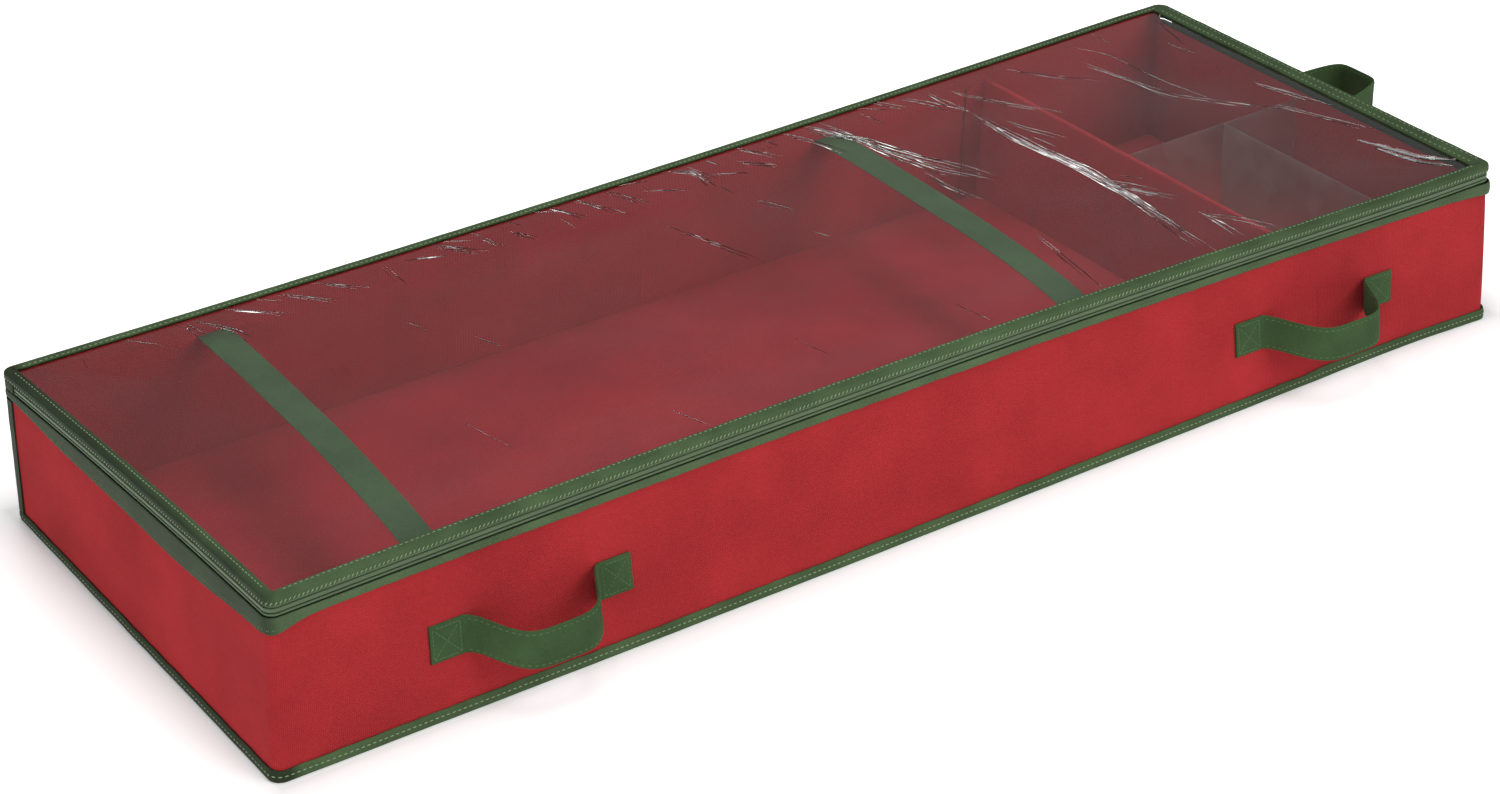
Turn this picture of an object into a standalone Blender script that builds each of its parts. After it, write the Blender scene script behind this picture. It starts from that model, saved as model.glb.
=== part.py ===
"""Zipped gift wrap organizer: a long, low fabric box with a clear window lid.

X runs along the box towards the accessory end, Y from the front wall, which has two
handles, to the back wall, where the lid hinges, and Z up. The origin lies on the floor
under the middle of the box. Sizes are in metres.
"""

import math

import bmesh
import bpy
from mathutils import Matrix, Vector

MM = 0.001
QUARTER = math.pi / 2

# Whole box, over its bindings
length = 1029 * MM
width = 375 * MM
height = 122 * MM
gap = 0.3 * MM
inner_corner_radius = 3 * MM
corner_steps = 6

# Thicknesses
binding_thickness = 1.2 * MM
cover_thickness = 1.0 * MM
board_thickness = 2.0 * MM
lining_thickness = 0.8 * MM
tape_thickness = 0.6 * MM
film_thickness = 0.5 * MM
clear_sheet_thickness = 0.8 * MM

# Bindings
bottom_binding_height = 8 * MM
rim_binding_height = 8 * MM
corner_binding_leg = 5 * MM
edge_round = 0.35 * MM
edge_round_steps = 2

# Zip and lid edge, from the wall's top edge up
wall_tuck = 4.5 * MM
coil_height = 1.8 * MM
coil_depth = 1.6 * MM
coil_parting = 0.9 * MM
tape_reveal = 2.5 * MM
skirt_depth = 5.2 * MM
zip_end_length = 10 * MM
lid_edge_width = 9 * MM
lid_right_edge_width = 15 * MM
lid_back_edge_width = 8 * MM

# Zip slider and pull tab
slider_length = 11 * MM
slider_height = 8 * MM
slider_plate = 1.2 * MM
bail_thickness = 0.8 * MM
bail_width = 1.4 * MM
bail_play = 0.6 * MM
pull_length = 22 * MM
pull_width = 6 * MM
pull_thickness = 1.0 * MM
pull_eye_length = 2.4 * MM
pull_eye_side = 0.4 * MM

# Red divider and clear partitions
accessory_bay_length = 183.6 * MM
divider_rise = 3.3 * MM
divider_top_steps = 8
flange_width = 18 * MM
front_cells_depth = 199.6 * MM
left_cell_length = 108 * MM
partition_drop = 5 * MM

# Straps over the rolls
left_strap_front_to_end = 120.1 * MM
left_strap_back_to_end = 148.1 * MM
right_strap_front_to_divider = 177 * MM
right_strap_back_to_divider = 158 * MM
strap_width = 24 * MM
strap_thickness = 1.5 * MM
strap_end_drop = 3 * MM
strap_rise = 6 * MM
strap_steps = 16

# Webbing handles
webbing_width = 25 * MM
webbing_thickness = 1.8 * MM
front_handle_length = 150 * MM
end_handle_length = 118 * MM
patch_length = 24 * MM
front_handle_z = 53 * MM
left_handle_to_end = 186.5 * MM
right_handle_to_end = 176.5 * MM
end_handle_y = 20 * MM
front_left_handle_bulge = 40 * MM
front_right_handle_bulge = 44 * MM
end_handle_bulge = 63 * MM
front_hinge_reach = 10 * MM
end_hinge_reach = 16 * MM
front_left_handle_rise = math.radians(-8)
front_right_handle_rise = math.radians(-2)
end_handle_rise = math.radians(6)
front_left_handle_bends = (2.1, 2.4)
front_right_handle_bends = (2.2, 2.4)
end_handle_bends = (4, 2.75)
loop_steps = 36
root_steps = 6

# Insets from the outer outline, outside to inside
cover_inset = binding_thickness + gap
board_inset = cover_inset + cover_thickness + gap
lining_inset = board_inset + board_thickness + gap
inner_inset = lining_inset + lining_thickness
corner_radius = inner_inset + inner_corner_radius
coil_inset = cover_inset + tape_thickness / 2 - coil_depth / 2
film_inset = cover_inset + tape_thickness + gap

# Heights, floor upwards
floor_board_z = cover_thickness + gap
floor_lining_z = floor_board_z + board_thickness + gap
floor_top = floor_lining_z + lining_thickness

# Heights, lid downwards
plate_z = height - binding_thickness
film_z = plate_z - gap - film_thickness
skirt_z = height - skirt_depth
upper_coil_top = skirt_z - tape_reveal
upper_coil_z = upper_coil_top - coil_height
lower_coil_top = upper_coil_z - coil_parting
lower_coil_z = lower_coil_top - coil_height
rim_binding_top = lower_coil_z - gap
rim_binding_z = rim_binding_top - rim_binding_height
wall_top = rim_binding_top - wall_tuck
zip_centre_z = (upper_coil_z + lower_coil_top) / 2

# Inner faces of the wall linings
inner_x = length / 2 - inner_inset
inner_y = width / 2 - inner_inset

# Places along the box
divider_x = inner_x - accessory_bay_length
lengthwise_partition_x = divider_x + left_cell_length
cross_partition_y = front_cells_depth - inner_y
left_strap_front_x = left_strap_front_to_end - inner_x
left_strap_back_x = left_strap_back_to_end - inner_x
right_strap_front_x = divider_x - right_strap_front_to_divider
right_strap_back_x = divider_x - right_strap_back_to_divider
left_handle_x = left_handle_to_end - length / 2
right_handle_x = length / 2 - right_handle_to_end

# Each side: direction along it, direction outwards, half its length, distance of its face
SIDES = {
    "front": (Vector((1, 0, 0)), Vector((0, -1, 0)), length / 2, width / 2),
    "right": (Vector((0, 1, 0)), Vector((1, 0, 0)), width / 2, length / 2),
    "back": (Vector((-1, 0, 0)), Vector((0, 1, 0)), length / 2, width / 2),
    "left": (Vector((0, -1, 0)), Vector((-1, 0, 0)), width / 2, length / 2),
}
UP = Vector((0, 0, 1))


def make_material(name, colour, roughness, metallic=0.0, alpha=1.0):
    material = bpy.data.materials.new(name)
    material.use_nodes = True
    shader = material.node_tree.nodes["Principled BSDF"]
    shader.inputs["Base Color"].default_value = (*colour, 1.0)
    shader.inputs["Roughness"].default_value = roughness
    shader.inputs["Metallic"].default_value = metallic
    shader.inputs["Alpha"].default_value = alpha
    return material


def side_point(side, along, out, z=0.0):
    """A point by its distance along a side, outwards from the box's middle, and up."""
    along_way, out_way, _, _ = SIDES[side]
    return along_way * along + out_way * out + UP * z


def arc(side, centre_along, centre_out, radius, start, end, steps=corner_steps):
    points = []
    for step in range(steps + 1):
        angle = start + (end - start) * step / steps
        along = centre_along + radius * math.cos(angle)
        out = centre_out + radius * math.sin(angle)
        points.append(side_point(side, along, out))
    return points


def side_line(side, inset):
    """The plan line of one side at an inset, from mitre to mitre, ends half a gap short."""
    _, _, run, reach = SIDES[side]
    radius = corner_radius - inset
    trim = math.asin(gap / 2 / radius)
    centre_out = reach - corner_radius
    centre_along = run - corner_radius
    first = arc(side, -centre_along, centre_out, radius, QUARTER * 1.5 - trim, QUARTER)
    last = arc(side, centre_along, centre_out, radius, QUARTER, QUARTER / 2 + trim)
    return first + last


def outline(inset):
    """A closed plan outline of the whole box at an inset, with rounded corners."""
    points = []
    for side, (_, _, run, reach) in SIDES.items():
        radius = corner_radius - inset
        centre_along = run - corner_radius
        centre_out = reach - corner_radius
        points += arc(side, centre_along, centre_out, radius, QUARTER, 0)
    return points


def zip_line(inset):
    """The plan line round the left, front and right sides, from zip end to zip end."""
    end_y = width / 2 - corner_radius - zip_end_length
    radius = corner_radius - inset
    centre_along = length / 2 - corner_radius
    centre_out = width / 2 - corner_radius
    start = Vector((inset - length / 2, end_y, 0))
    left_corner = arc("front", -centre_along, centre_out, radius, QUARTER * 2, QUARTER)
    right_corner = arc("front", centre_along, centre_out, radius, QUARTER, 0)
    end = Vector((length / 2 - inset, end_y, 0))
    return [start] + left_corner + right_corner + [end]


def finish_mesh(name, bm, material):
    bmesh.ops.recalc_face_normals(bm, faces=bm.faces)
    mesh = bpy.data.meshes.new(name)
    bm.to_mesh(mesh)
    bm.free()
    mesh.materials.append(material)
    piece = bpy.data.objects.new(name, mesh)
    bpy.context.scene.collection.objects.link(piece)
    return piece


def round_edges(piece, size=edge_round):
    """Softens the sharp edges of a folded fabric or metal piece."""
    bevel = piece.modifiers.new("rounded edges", "BEVEL")
    bevel.width = size
    bevel.segments = edge_round_steps
    bevel.limit_method = "ANGLE"
    bevel.angle_limit = QUARTER / 2
    return piece


def band(name, outer, inner, rise, material, closed=False):
    """A strip between two lines of as many points each, given its depth by one move."""
    bm = bmesh.new()
    rings = []
    for line in (outer, inner):
        rings.append([bm.verts.new(point) for point in line])
        rings.append([bm.verts.new(point + rise) for point in line])
    outer_low, outer_high, inner_low, inner_high = rings
    count = len(outer)
    last = count if closed else count - 1
    for index in range(last):
        after = (index + 1) % count
        for low, high in ((outer_low, outer_high), (inner_low, inner_high)):
            bm.faces.new((low[index], low[after], high[after], high[index]))
        for near, far in ((outer_low, inner_low), (outer_high, inner_high)):
            bm.faces.new((near[index], near[after], far[after], far[index]))
    if not closed:
        for end in (0, -1):
            bm.faces.new((outer_low[end], outer_high[end], inner_high[end], inner_low[end]))
    return finish_mesh(name, bm, material)


def loft(name, sections, material):
    """A solid through rings of as many points each, closed by its first and last ring."""
    bm = bmesh.new()
    rings = [[bm.verts.new(point) for point in section] for section in sections]
    count = len(sections[0])
    for ring, following in zip(rings, rings[1:]):
        for index in range(count):
            after = (index + 1) % count
            bm.faces.new((ring[index], ring[after], following[after], following[index]))
    bm.faces.new(rings[0])
    bm.faces.new(rings[-1])
    return finish_mesh(name, bm, material)


def block(name, low, high, material):
    """A plain box between two corners, set at its own middle."""
    size = Vector(high) - Vector(low)
    middle = (Vector(high) + Vector(low)) / 2
    bm = bmesh.new()
    bmesh.ops.create_cube(bm, size=1)
    bmesh.ops.scale(bm, vec=size, verts=bm.verts)
    piece = finish_mesh(name, bm, material)
    piece.location = middle
    return piece


def side_band(name, side, inset, thickness, low, high, material):
    """An upright strip along one side of the box, mitred at both corners."""
    lift = UP * low
    outer = [point + lift for point in side_line(side, inset)]
    inner = [point + lift for point in side_line(side, inset + thickness)]
    return band(name, outer, inner, UP * (high - low), material)


def floor_sheet(name, inset, low, thickness, material):
    """One layer of the floor, from edge to edge."""
    bottom = [point + UP * low for point in outline(inset)]
    top = [point + UP * (low + thickness) for point in outline(inset)]
    return loft(name, [bottom, top], material)


def build_floor(fabric, board, lining):
    floor_sheet("floor_outer_cover", cover_inset, 0, cover_thickness, fabric)
    floor_sheet("floor_board", board_inset, floor_board_z, board_thickness, board)
    floor_sheet("floor_lining", lining_inset, floor_lining_z, lining_thickness, lining)


def build_walls(fabric, board, lining):
    """Three layers on each side: outer cover, board and lining."""
    cover_z = cover_thickness + gap
    board_z = floor_board_z + board_thickness + gap
    lining_z = floor_top + gap
    for side in SIDES:
        side_band(side + "_outer_cover", side, cover_inset, cover_thickness, cover_z,
                  wall_top, fabric)
        side_band(side + "_board", side, board_inset, board_thickness, board_z,
                  wall_top, board)
        side_band(side + "_lining", side, lining_inset, lining_thickness, lining_z,
                  wall_top, lining)


def build_bindings(binding):
    """Folded bindings on the bottom edge, the rim and the two back corners."""
    for side in SIDES:
        strip = side_band(side + "_bottom_binding", side, 0, binding_thickness, 0,
                          bottom_binding_height, binding)
        round_edges(strip)
    for side in ("front", "right", "left"):
        strip = side_band(side + "_rim_binding", side, 0, binding_thickness, rim_binding_z,
                          rim_binding_top, binding)
        round_edges(strip)
    strip = side_band("back_hinge_binding", "back", 0, binding_thickness, rim_binding_z,
                      plate_z - gap, binding)
    round_edges(strip)
    for name, side in (("back_right", "right"), ("back_left", "back")):
        corner_binding(name + "_corner_binding", side, binding)


def corner_binding(name, side, binding):
    """An upright strip folded round the corner at the far end of a side."""
    _, _, run, reach = SIDES[side]
    centre_along = run - corner_radius
    centre_out = reach - corner_radius
    low = bottom_binding_height + gap
    lines = []
    for inset in (0, binding_thickness):
        radius = corner_radius - inset
        start = side_point(side, centre_along - corner_binding_leg, centre_out + radius)
        end = side_point(side, centre_along + radius, centre_out - corner_binding_leg)
        turn = arc(side, centre_along, centre_out, radius, QUARTER, 0)
        lines.append([point + UP * low for point in [start] + turn + [end]])
    rise = UP * (rim_binding_z - gap - low)
    round_edges(band(name, lines[0], lines[1], rise, binding))


def build_zip(tape, coil, binding):
    """Tape and coil of both zip halves, and the sewn tabs at the zip's two ends.

    Returns the upper tape and coil, which belong to the lid.
    """
    tape_low = wall_top + gap
    tape_high = upper_coil_top + gap
    strips = (
        ("lower_zip_tape", cover_inset, tape_thickness, tape_low, lower_coil_z - gap, tape),
        ("upper_zip_tape", cover_inset, tape_thickness, tape_high, plate_z - gap, tape),
        ("lower_zip_coil", coil_inset, coil_depth, lower_coil_z, lower_coil_top, coil),
        ("upper_zip_coil", coil_inset, coil_depth, upper_coil_z, upper_coil_top, coil),
    )
    lid_strips = []
    for name, inset, thickness, low, high, material in strips:
        outer = [point + UP * low for point in zip_line(inset)]
        inner = [point + UP * low for point in zip_line(inset + thickness)]
        strip = band(name, outer, inner, UP * (high - low), material)
        if low > zip_centre_z:
            lid_strips.append(strip)
    low = rim_binding_top + gap
    rise = UP * (skirt_z - gap - low)
    for name, side, end in (("left", "left", 0), ("right", "right", 1)):
        _, _, run, reach = SIDES[side]
        sign = 2 * end - 1
        lines = []
        for inset in (0, binding_thickness):
            near = sign * (run - corner_radius - zip_end_length + gap)
            start = side_point(side, near, reach - inset)
            turn = side_line(side, inset)
            turn = turn[corner_steps + 1:] if end else turn[corner_steps::-1]
            lines.append([point + UP * low for point in [start] + turn])
        tab = band("zip_end_tab_" + name, lines[0], lines[1], rise, binding)
        round_edges(tab)
    return lid_strips


def plate_line(side, edge_width, before_width, after_width):
    """Inner edge of a lid binding in plan, from its last mitre back to its first."""
    _, _, run, reach = SIDES[side]
    out = reach - edge_width
    shift = gap / 2 * math.sqrt(2)
    points = []
    for end, neighbour in ((1, after_width), (-1, before_width)):
        mitre = min(edge_width, neighbour)
        corner = [side_point(side, end * (run - mitre - shift), reach - mitre)]
        if edge_width > neighbour:
            corner[0] = side_point(side, end * (run - neighbour - gap),
                                   reach - neighbour - gap + shift)
            corner.append(side_point(side, end * (run - neighbour - gap), out))
        points += corner if end > 0 else corner[::-1]
    return points


def lid_binding(name, side, edge_width, before_width, after_width, material):
    """A folded lid edge: a flat part over the window and a skirt down the outside."""
    outer = side_line(side, 0)
    inner = side_line(side, binding_thickness)
    plate = plate_line(side, edge_width, before_width, after_width)
    bm = bmesh.new()

    def level(points, z):
        return [bm.verts.new(point + UP * z) for point in points]

    outer_low, outer_top = level(outer, skirt_z), level(outer, height)
    inner_low, inner_under = level(inner, skirt_z), level(inner, plate_z)
    plate_under, plate_top = level(plate, plate_z), level(plate, height)
    for low, high in ((outer_low, outer_top), (inner_low, inner_under),
                      (plate_under, plate_top), (outer_low, inner_low)):
        for index in range(len(low) - 1):
            after = index + 1
            bm.faces.new((low[index], low[after], high[after], high[index]))
    bm.faces.new(outer_top + plate_top)
    bm.faces.new(inner_under + plate_under)
    for end, other in ((-1, 0), (0, -1)):
        bm.faces.new((outer_low[end], outer_top[end], plate_top[other], plate_under[other],
                      inner_under[end], inner_low[end]))
    return round_edges(finish_mesh(name, bm, material))


def build_lid(film, binding):
    """Clear window with its folded bindings; the back one lies flat and hinges.

    Returns the lid's pieces.
    """
    bottom = [point + UP * film_z for point in outline(film_inset)]
    top = [point + UP * film_thickness for point in bottom]
    pieces = [loft("lid_window", [bottom, top], film)]
    back, front, right = lid_back_edge_width, lid_edge_width, lid_right_edge_width
    for name, side, edge, before, after in (
            ("lid_front_binding", "front", front, front, right),
            ("lid_right_binding", "right", right, front, back),
            ("lid_left_binding", "left", front, back, front)):
        pieces.append(lid_binding(name, side, edge, before, after, binding))
    back_outer = side_line("back", gap)
    back_inner = plate_line("back", back, right, front)
    flat = [point + UP * plate_z for point in back_outer + back_inner]
    raised = [point + UP * binding_thickness for point in flat]
    pieces.append(round_edges(loft("lid_back_binding", [flat, raised], binding)))
    return pieces


def hang_lid(pieces):
    """Parents the lid's pieces to an empty on its hinge line, the fold at the back."""
    hinge = bpy.data.objects.new("lid_hinge", None)
    hinge.location = (0, width / 2, plate_z - gap / 2)
    bpy.context.scene.collection.objects.link(hinge)
    for piece in pieces:
        piece.parent = hinge
        piece.location = -hinge.location


def build_divider(fabric, board, clear):
    """Red cross divider in its sleeve, its sewn flanges, and the clear partitions."""
    sleeve_radius = board_thickness / 2 + gap + lining_thickness
    slot_radius = sleeve_radius - lining_thickness
    top = wall_top + divider_rise
    foot = floor_top + gap
    end_y = inner_y - gap
    lines = []
    for radius in (sleeve_radius, slot_radius):
        line = [Vector((divider_x - radius, -end_y, foot))]
        for step in range(divider_top_steps + 1):
            angle = math.pi * (1 - step / divider_top_steps)
            x = divider_x + radius * math.cos(angle)
            z = top - sleeve_radius + radius * math.sin(angle)
            line.append(Vector((x, -end_y, z)))
        line.append(Vector((divider_x + radius, -end_y, foot)))
        lines.append(line)
    band("divider_sleeve", lines[0], lines[1], Vector((0, 2 * end_y, 0)), fabric)
    half_board = board_thickness / 2
    block("divider_board", (divider_x - half_board, -end_y, foot),
          (divider_x + half_board, end_y, top - sleeve_radius), board)
    flange_low = divider_x + sleeve_radius + gap
    block("divider_front_flange", (flange_low, -end_y, foot),
          (flange_low + flange_width, lining_thickness - end_y, wall_top), fabric)
    flange_high = divider_x - sleeve_radius - gap
    block("divider_back_flange", (flange_high - flange_width, end_y - lining_thickness, foot),
          (flange_high, end_y, wall_top), fabric)
    half_sheet = clear_sheet_thickness / 2
    clear_top = wall_top - partition_drop
    block("clear_cross_partition",
          (divider_x + sleeve_radius + gap, cross_partition_y - half_sheet, foot),
          (inner_x - gap, cross_partition_y + half_sheet, clear_top), clear)
    block("clear_lengthwise_partition",
          (lengthwise_partition_x - half_sheet, -end_y, foot),
          (lengthwise_partition_x + half_sheet, cross_partition_y - half_sheet - gap,
           clear_top), clear)


def build_strap(name, front_x, back_x, webbing):
    """A strap across the box at a slight slant, held in the rim at both ends, bowed up."""
    end_y = inner_y - gap
    over, under = [], []
    for step in range(strap_steps + 1):
        share = 2 * step / strap_steps - 1
        low_x = front_x + (back_x - front_x) * step / strap_steps - strap_width / 2
        z = wall_top - strap_end_drop + strap_rise * (1 - share * share)
        over.append(Vector((low_x, share * end_y, z + strap_thickness / 2)))
        under.append(Vector((low_x, share * end_y, z - strap_thickness / 2)))
    band(name, over, under, Vector((strap_width, 0, 0)), webbing)


def webbing_faces(share, half_span, bulge, bend):
    """Distances of the webbing's two faces from the wall, at a share of the half span.

    The higher the bend, the later and the more sharply the webbing turns to the wall.
    Its depth outwards grows where it runs at a slant.
    """
    start = gap + webbing_thickness / 2
    swing = (bulge - start) / 2
    middle = start + swing * (1 + math.cos(math.pi * share ** bend))
    slope = swing * math.sin(math.pi * share ** bend)
    slope *= math.pi * bend * share ** (bend - 1) / half_span
    half = webbing_thickness / 2 * math.sqrt(1 + slope * slope)
    return max(middle - half, gap), middle + half


def hinge_share(bulge, bend, hinge_reach):
    """Share of the half span where the webbing is as far out as the hinge line."""
    start = gap + webbing_thickness / 2
    turn = math.acos(2 * (hinge_reach - start) / (bulge - start) - 1)
    return (turn / math.pi) ** (1 / bend)


def build_handle(name, side, ends, centre, length_over, bulge, rise, bends, hinge_reach,
                 webbing):
    """One webbing handle: two sewn ends that bend outwards, and the loop between them.

    The loop rises or sinks away from the wall, and the webbing's faces stay upright.
    """
    centre_along, centre_z = centre
    wall = SIDES[side][3] - cover_inset
    half_span = length_over / 2 - patch_length
    half_width = webbing_width / 2

    def place(along, out, up, turn):
        arm = out - hinge_reach
        turned_out = hinge_reach + arm * math.cos(turn)
        return side_point(side, centre_along + along, wall + turned_out,
                          centre_z + arm * math.sin(turn) + up)

    outer, inner = [], []
    cuts = [hinge_share(bulge, bend, hinge_reach) * half_span for bend in bends]
    low_end = gap / 2 - cuts[0]
    high_end = cuts[1] - gap / 2
    for step in range(loop_steps + 1):
        along = low_end + (high_end - low_end) * step / loop_steps
        bend = bends[0] if along < 0 else bends[1]
        near, far = webbing_faces(abs(along) / half_span, half_span, bulge, bend)
        outer.append(place(along, far, -half_width, rise))
        inner.append(place(along, near, -half_width, rise))
    loop = band(name + "_loop", outer, inner, UP * webbing_width, webbing)
    pivot = place(0, hinge_reach, 0, rise)
    loop.data.transform(Matrix.Translation(-pivot))
    loop.location = pivot

    for end_name, sign, cut, bend in zip(ends, (-1, 1), cuts, bends):
        stations = [half_span + patch_length]
        free_end = cut + gap / 2
        for step in range(root_steps + 1):
            stations.append(half_span + (free_end - half_span) * step / root_steps)
        sections = []
        for station in stations:
            share = min(station / half_span, 1)
            near, far = webbing_faces(share, half_span, bulge, bend)
            ring = []
            for out, up in ((far, -half_width), (near, -half_width),
                            (near, half_width), (far, half_width)):
                ring.append(place(sign * station, out, up, 0))
            sections.append(ring)
        loft(name + "_" + end_name, sections, webbing)


def build_handles(webbing):
    front_ends = ("left_end", "right_end")
    end_handle_z = rim_binding_z - gap - webbing_width / 2
    left_centre = (left_handle_x, front_handle_z)
    build_handle("front_left_handle", "front", front_ends, left_centre,
                 front_handle_length, front_left_handle_bulge, front_left_handle_rise,
                 front_left_handle_bends, front_hinge_reach, webbing)
    right_centre = (right_handle_x, front_handle_z)
    build_handle("front_right_handle", "front", front_ends, right_centre,
                 front_handle_length, front_right_handle_bulge, front_right_handle_rise,
                 front_right_handle_bends, front_hinge_reach, webbing)
    end_centre = (end_handle_y, end_handle_z)
    build_handle("end_handle", "right", ("front_end", "back_end"), end_centre,
                 end_handle_length, end_handle_bulge, end_handle_rise, end_handle_bends,
                 end_hinge_reach, webbing)


def build_slider(metal):
    """Zip slider astride the coils on the right side, with its bail and pull tab."""
    face = length / 2 + gap
    outside = face + slider_plate
    inside = length / 2 - coil_inset - coil_depth - gap
    end_y = width / 2 - corner_radius - zip_end_length - gap
    slider_y = end_y - slider_length / 2
    blade = coil_parting / 2 - gap
    half = slider_height / 2
    profile = ((outside, -half), (outside, half), (face, half), (face, blade),
               (inside, blade), (inside, half), (inside - slider_plate, half),
               (inside - slider_plate, -half), (inside, -half), (inside, -blade),
               (face, -blade), (face, -half))
    sections = []
    for y in (-slider_length / 2, slider_length / 2):
        sections.append([Vector((x - outside, y, z)) for x, z in profile])
    slider = loft("zip_slider", sections, metal)
    slider.location = (outside, slider_y, zip_centre_z)

    window = pull_thickness + bail_play
    foot = window / 2 + gap
    rise = Vector((0, 0, bail_width))
    low = -bail_width / 2
    sunk = -slider_plate / 2
    outer = [Vector((x, y, low)) for x, y in (
        (sunk, -foot - bail_thickness), (window + bail_thickness, -foot - bail_thickness),
        (window + bail_thickness, foot + bail_thickness), (sunk, foot + bail_thickness))]
    inner = [Vector((x, y, low)) for x, y in (
        (sunk, -foot), (window, -foot), (window, foot), (sunk, foot))]
    bail = band("bail_tool", outer, inner, rise, metal)
    bail.parent = slider
    bail.hide_render = True
    bail.display_type = "WIRE"
    join = slider.modifiers.new("bail", "BOOLEAN")
    join.operation = "UNION"
    join.solver = "EXACT"
    join.object = bail

    bar = pull_thickness / 2
    eye = bail_width / 2 + pull_eye_side
    ring_outer = ((bar, -pull_width / 2), (bar, pull_width / 2),
                  (bar - pull_length, pull_width / 2), (bar - pull_length, -pull_width / 2))
    ring_inner = ((-bar, -eye), (-bar, eye), (-bar - pull_eye_length, eye),
                  (-bar - pull_eye_length, -eye))
    outer = [Vector((-bar, y, z)) for y, z in ring_outer]
    inner = [Vector((-bar, y, z)) for y, z in ring_inner]
    pull = band("zip_pull_tab", outer, inner, Vector((pull_thickness, 0, 0)), metal,
                closed=True)
    pull.parent = slider
    pull.location = (window / 2, 0, 0)


def main():
    for item in list(bpy.data.objects):
        bpy.data.objects.remove(item, do_unlink=True)
    red = make_material("red fabric", (0.40, 0.03, 0.04), 0.85)
    lining = make_material("red lining", (0.45, 0.02, 0.03), 0.85)
    board = make_material("grey chipboard", (0.35, 0.30, 0.24), 0.90)
    green = make_material("green binding", (0.03, 0.08, 0.03), 0.80)
    webbing = make_material("green webbing", (0.03, 0.08, 0.03), 0.75)
    tape = make_material("green zip tape", (0.08, 0.17, 0.08), 0.80)
    coil = make_material("green zip coil", (0.05, 0.11, 0.05), 0.45)
    film = make_material("clear film", (0.95, 0.97, 0.97), 0.08, alpha=0.25)
    clear = make_material("frosted sheet", (0.75, 0.76, 0.70), 0.35, alpha=0.60)
    metal = make_material("painted metal", (0.04, 0.09, 0.04), 0.35, metallic=0.6)
    build_floor(red, board, lining)
    build_walls(red, board, lining)
    build_bindings(green)
    lid_pieces = build_zip(tape, coil, green)
    lid_pieces += build_lid(film, green)
    hang_lid(lid_pieces)
    build_divider(lining, board, clear)
    build_strap("left_hold_down_strap", left_strap_front_x, left_strap_back_x, webbing)
    build_strap("right_hold_down_strap", right_strap_front_x, right_strap_back_x, webbing)
    build_handles(webbing)
    build_slider(metal)


main()
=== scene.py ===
"""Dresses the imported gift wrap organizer: cloth covers, folded bindings, zip, clear lid,
webbing, stitching, studio and camera. Sizes are in metres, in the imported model's frame.
"""

import math

import bpy
import numpy as np
from mathutils import Matrix, Vector, noise


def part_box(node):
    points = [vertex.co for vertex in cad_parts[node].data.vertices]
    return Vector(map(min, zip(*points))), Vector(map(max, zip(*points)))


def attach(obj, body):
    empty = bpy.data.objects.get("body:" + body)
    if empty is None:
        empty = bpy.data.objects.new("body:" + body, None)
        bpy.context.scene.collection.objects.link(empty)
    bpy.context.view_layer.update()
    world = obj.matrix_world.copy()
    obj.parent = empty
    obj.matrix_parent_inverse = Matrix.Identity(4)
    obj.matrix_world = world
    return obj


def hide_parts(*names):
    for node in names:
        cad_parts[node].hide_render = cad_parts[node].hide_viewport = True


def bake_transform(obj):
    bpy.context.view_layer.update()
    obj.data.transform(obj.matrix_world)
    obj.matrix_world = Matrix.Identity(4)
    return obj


bl_info = {
    "name": "Gift wrap organizer",
    "version": (1, 0),
    "blender": (4, 5, 0),
    "location": "3D View > Sidebar > Organizer",
    "description": "Builds the look of a zipped cloth organizer round its packed frame",
    "category": "Object",
}

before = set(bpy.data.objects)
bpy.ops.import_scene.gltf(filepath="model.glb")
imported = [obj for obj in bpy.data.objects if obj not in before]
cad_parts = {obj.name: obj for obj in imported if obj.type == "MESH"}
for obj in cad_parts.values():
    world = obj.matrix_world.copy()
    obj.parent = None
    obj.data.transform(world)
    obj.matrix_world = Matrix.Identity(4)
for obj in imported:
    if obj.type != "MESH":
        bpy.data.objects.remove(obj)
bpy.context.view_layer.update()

MM = 0.001
QUARTER = math.pi / 2

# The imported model's own measures
HALF_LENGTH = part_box("right_bottom_binding")[1].x
HALF_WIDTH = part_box("back_bottom_binding")[1].y
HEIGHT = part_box("lid_front_binding")[1].z
CORNER_RADIUS = 8.9 * MM
COVER_INSET = HALF_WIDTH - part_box("back_outer_cover")[1].y
LINING_INSET = HALF_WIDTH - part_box("back_lining")[1].y
BINDING = 1.2 * MM
COVER_CLOTH = 1.0 * MM
LINING_CLOTH = 0.8 * MM
BOARD = 2 * MM
COVER_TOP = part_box("front_outer_cover")[1].z
COVER_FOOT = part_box("front_outer_cover")[0].z
LINING_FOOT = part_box("front_lining")[0].z
RIM_LOW, RIM_HIGH = (corner.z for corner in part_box("front_rim_binding"))
SKIRT_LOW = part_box("lid_front_binding")[0].z
FILM_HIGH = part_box("lid_window")[1].z
ZIP_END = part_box("lower_zip_coil")[1].y
DIVIDER_SEAM = 343 * MM

# Sides in order round the box: along it, outwards, half its length, distance of its face
FRONT, RIGHT, BACK, LEFT = range(4)
SIDES = (
    (Vector((1, 0, 0)), Vector((0, -1, 0)), HALF_LENGTH, HALF_WIDTH),
    (Vector((0, 1, 0)), Vector((1, 0, 0)), HALF_WIDTH, HALF_LENGTH),
    (Vector((-1, 0, 0)), Vector((0, 1, 0)), HALF_LENGTH, HALF_WIDTH),
    (Vector((0, -1, 0)), Vector((-1, 0, 0)), HALF_WIDTH, HALF_LENGTH),
)
CORNER_STEPS = 8
HALF_ROUND = 0.5

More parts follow.
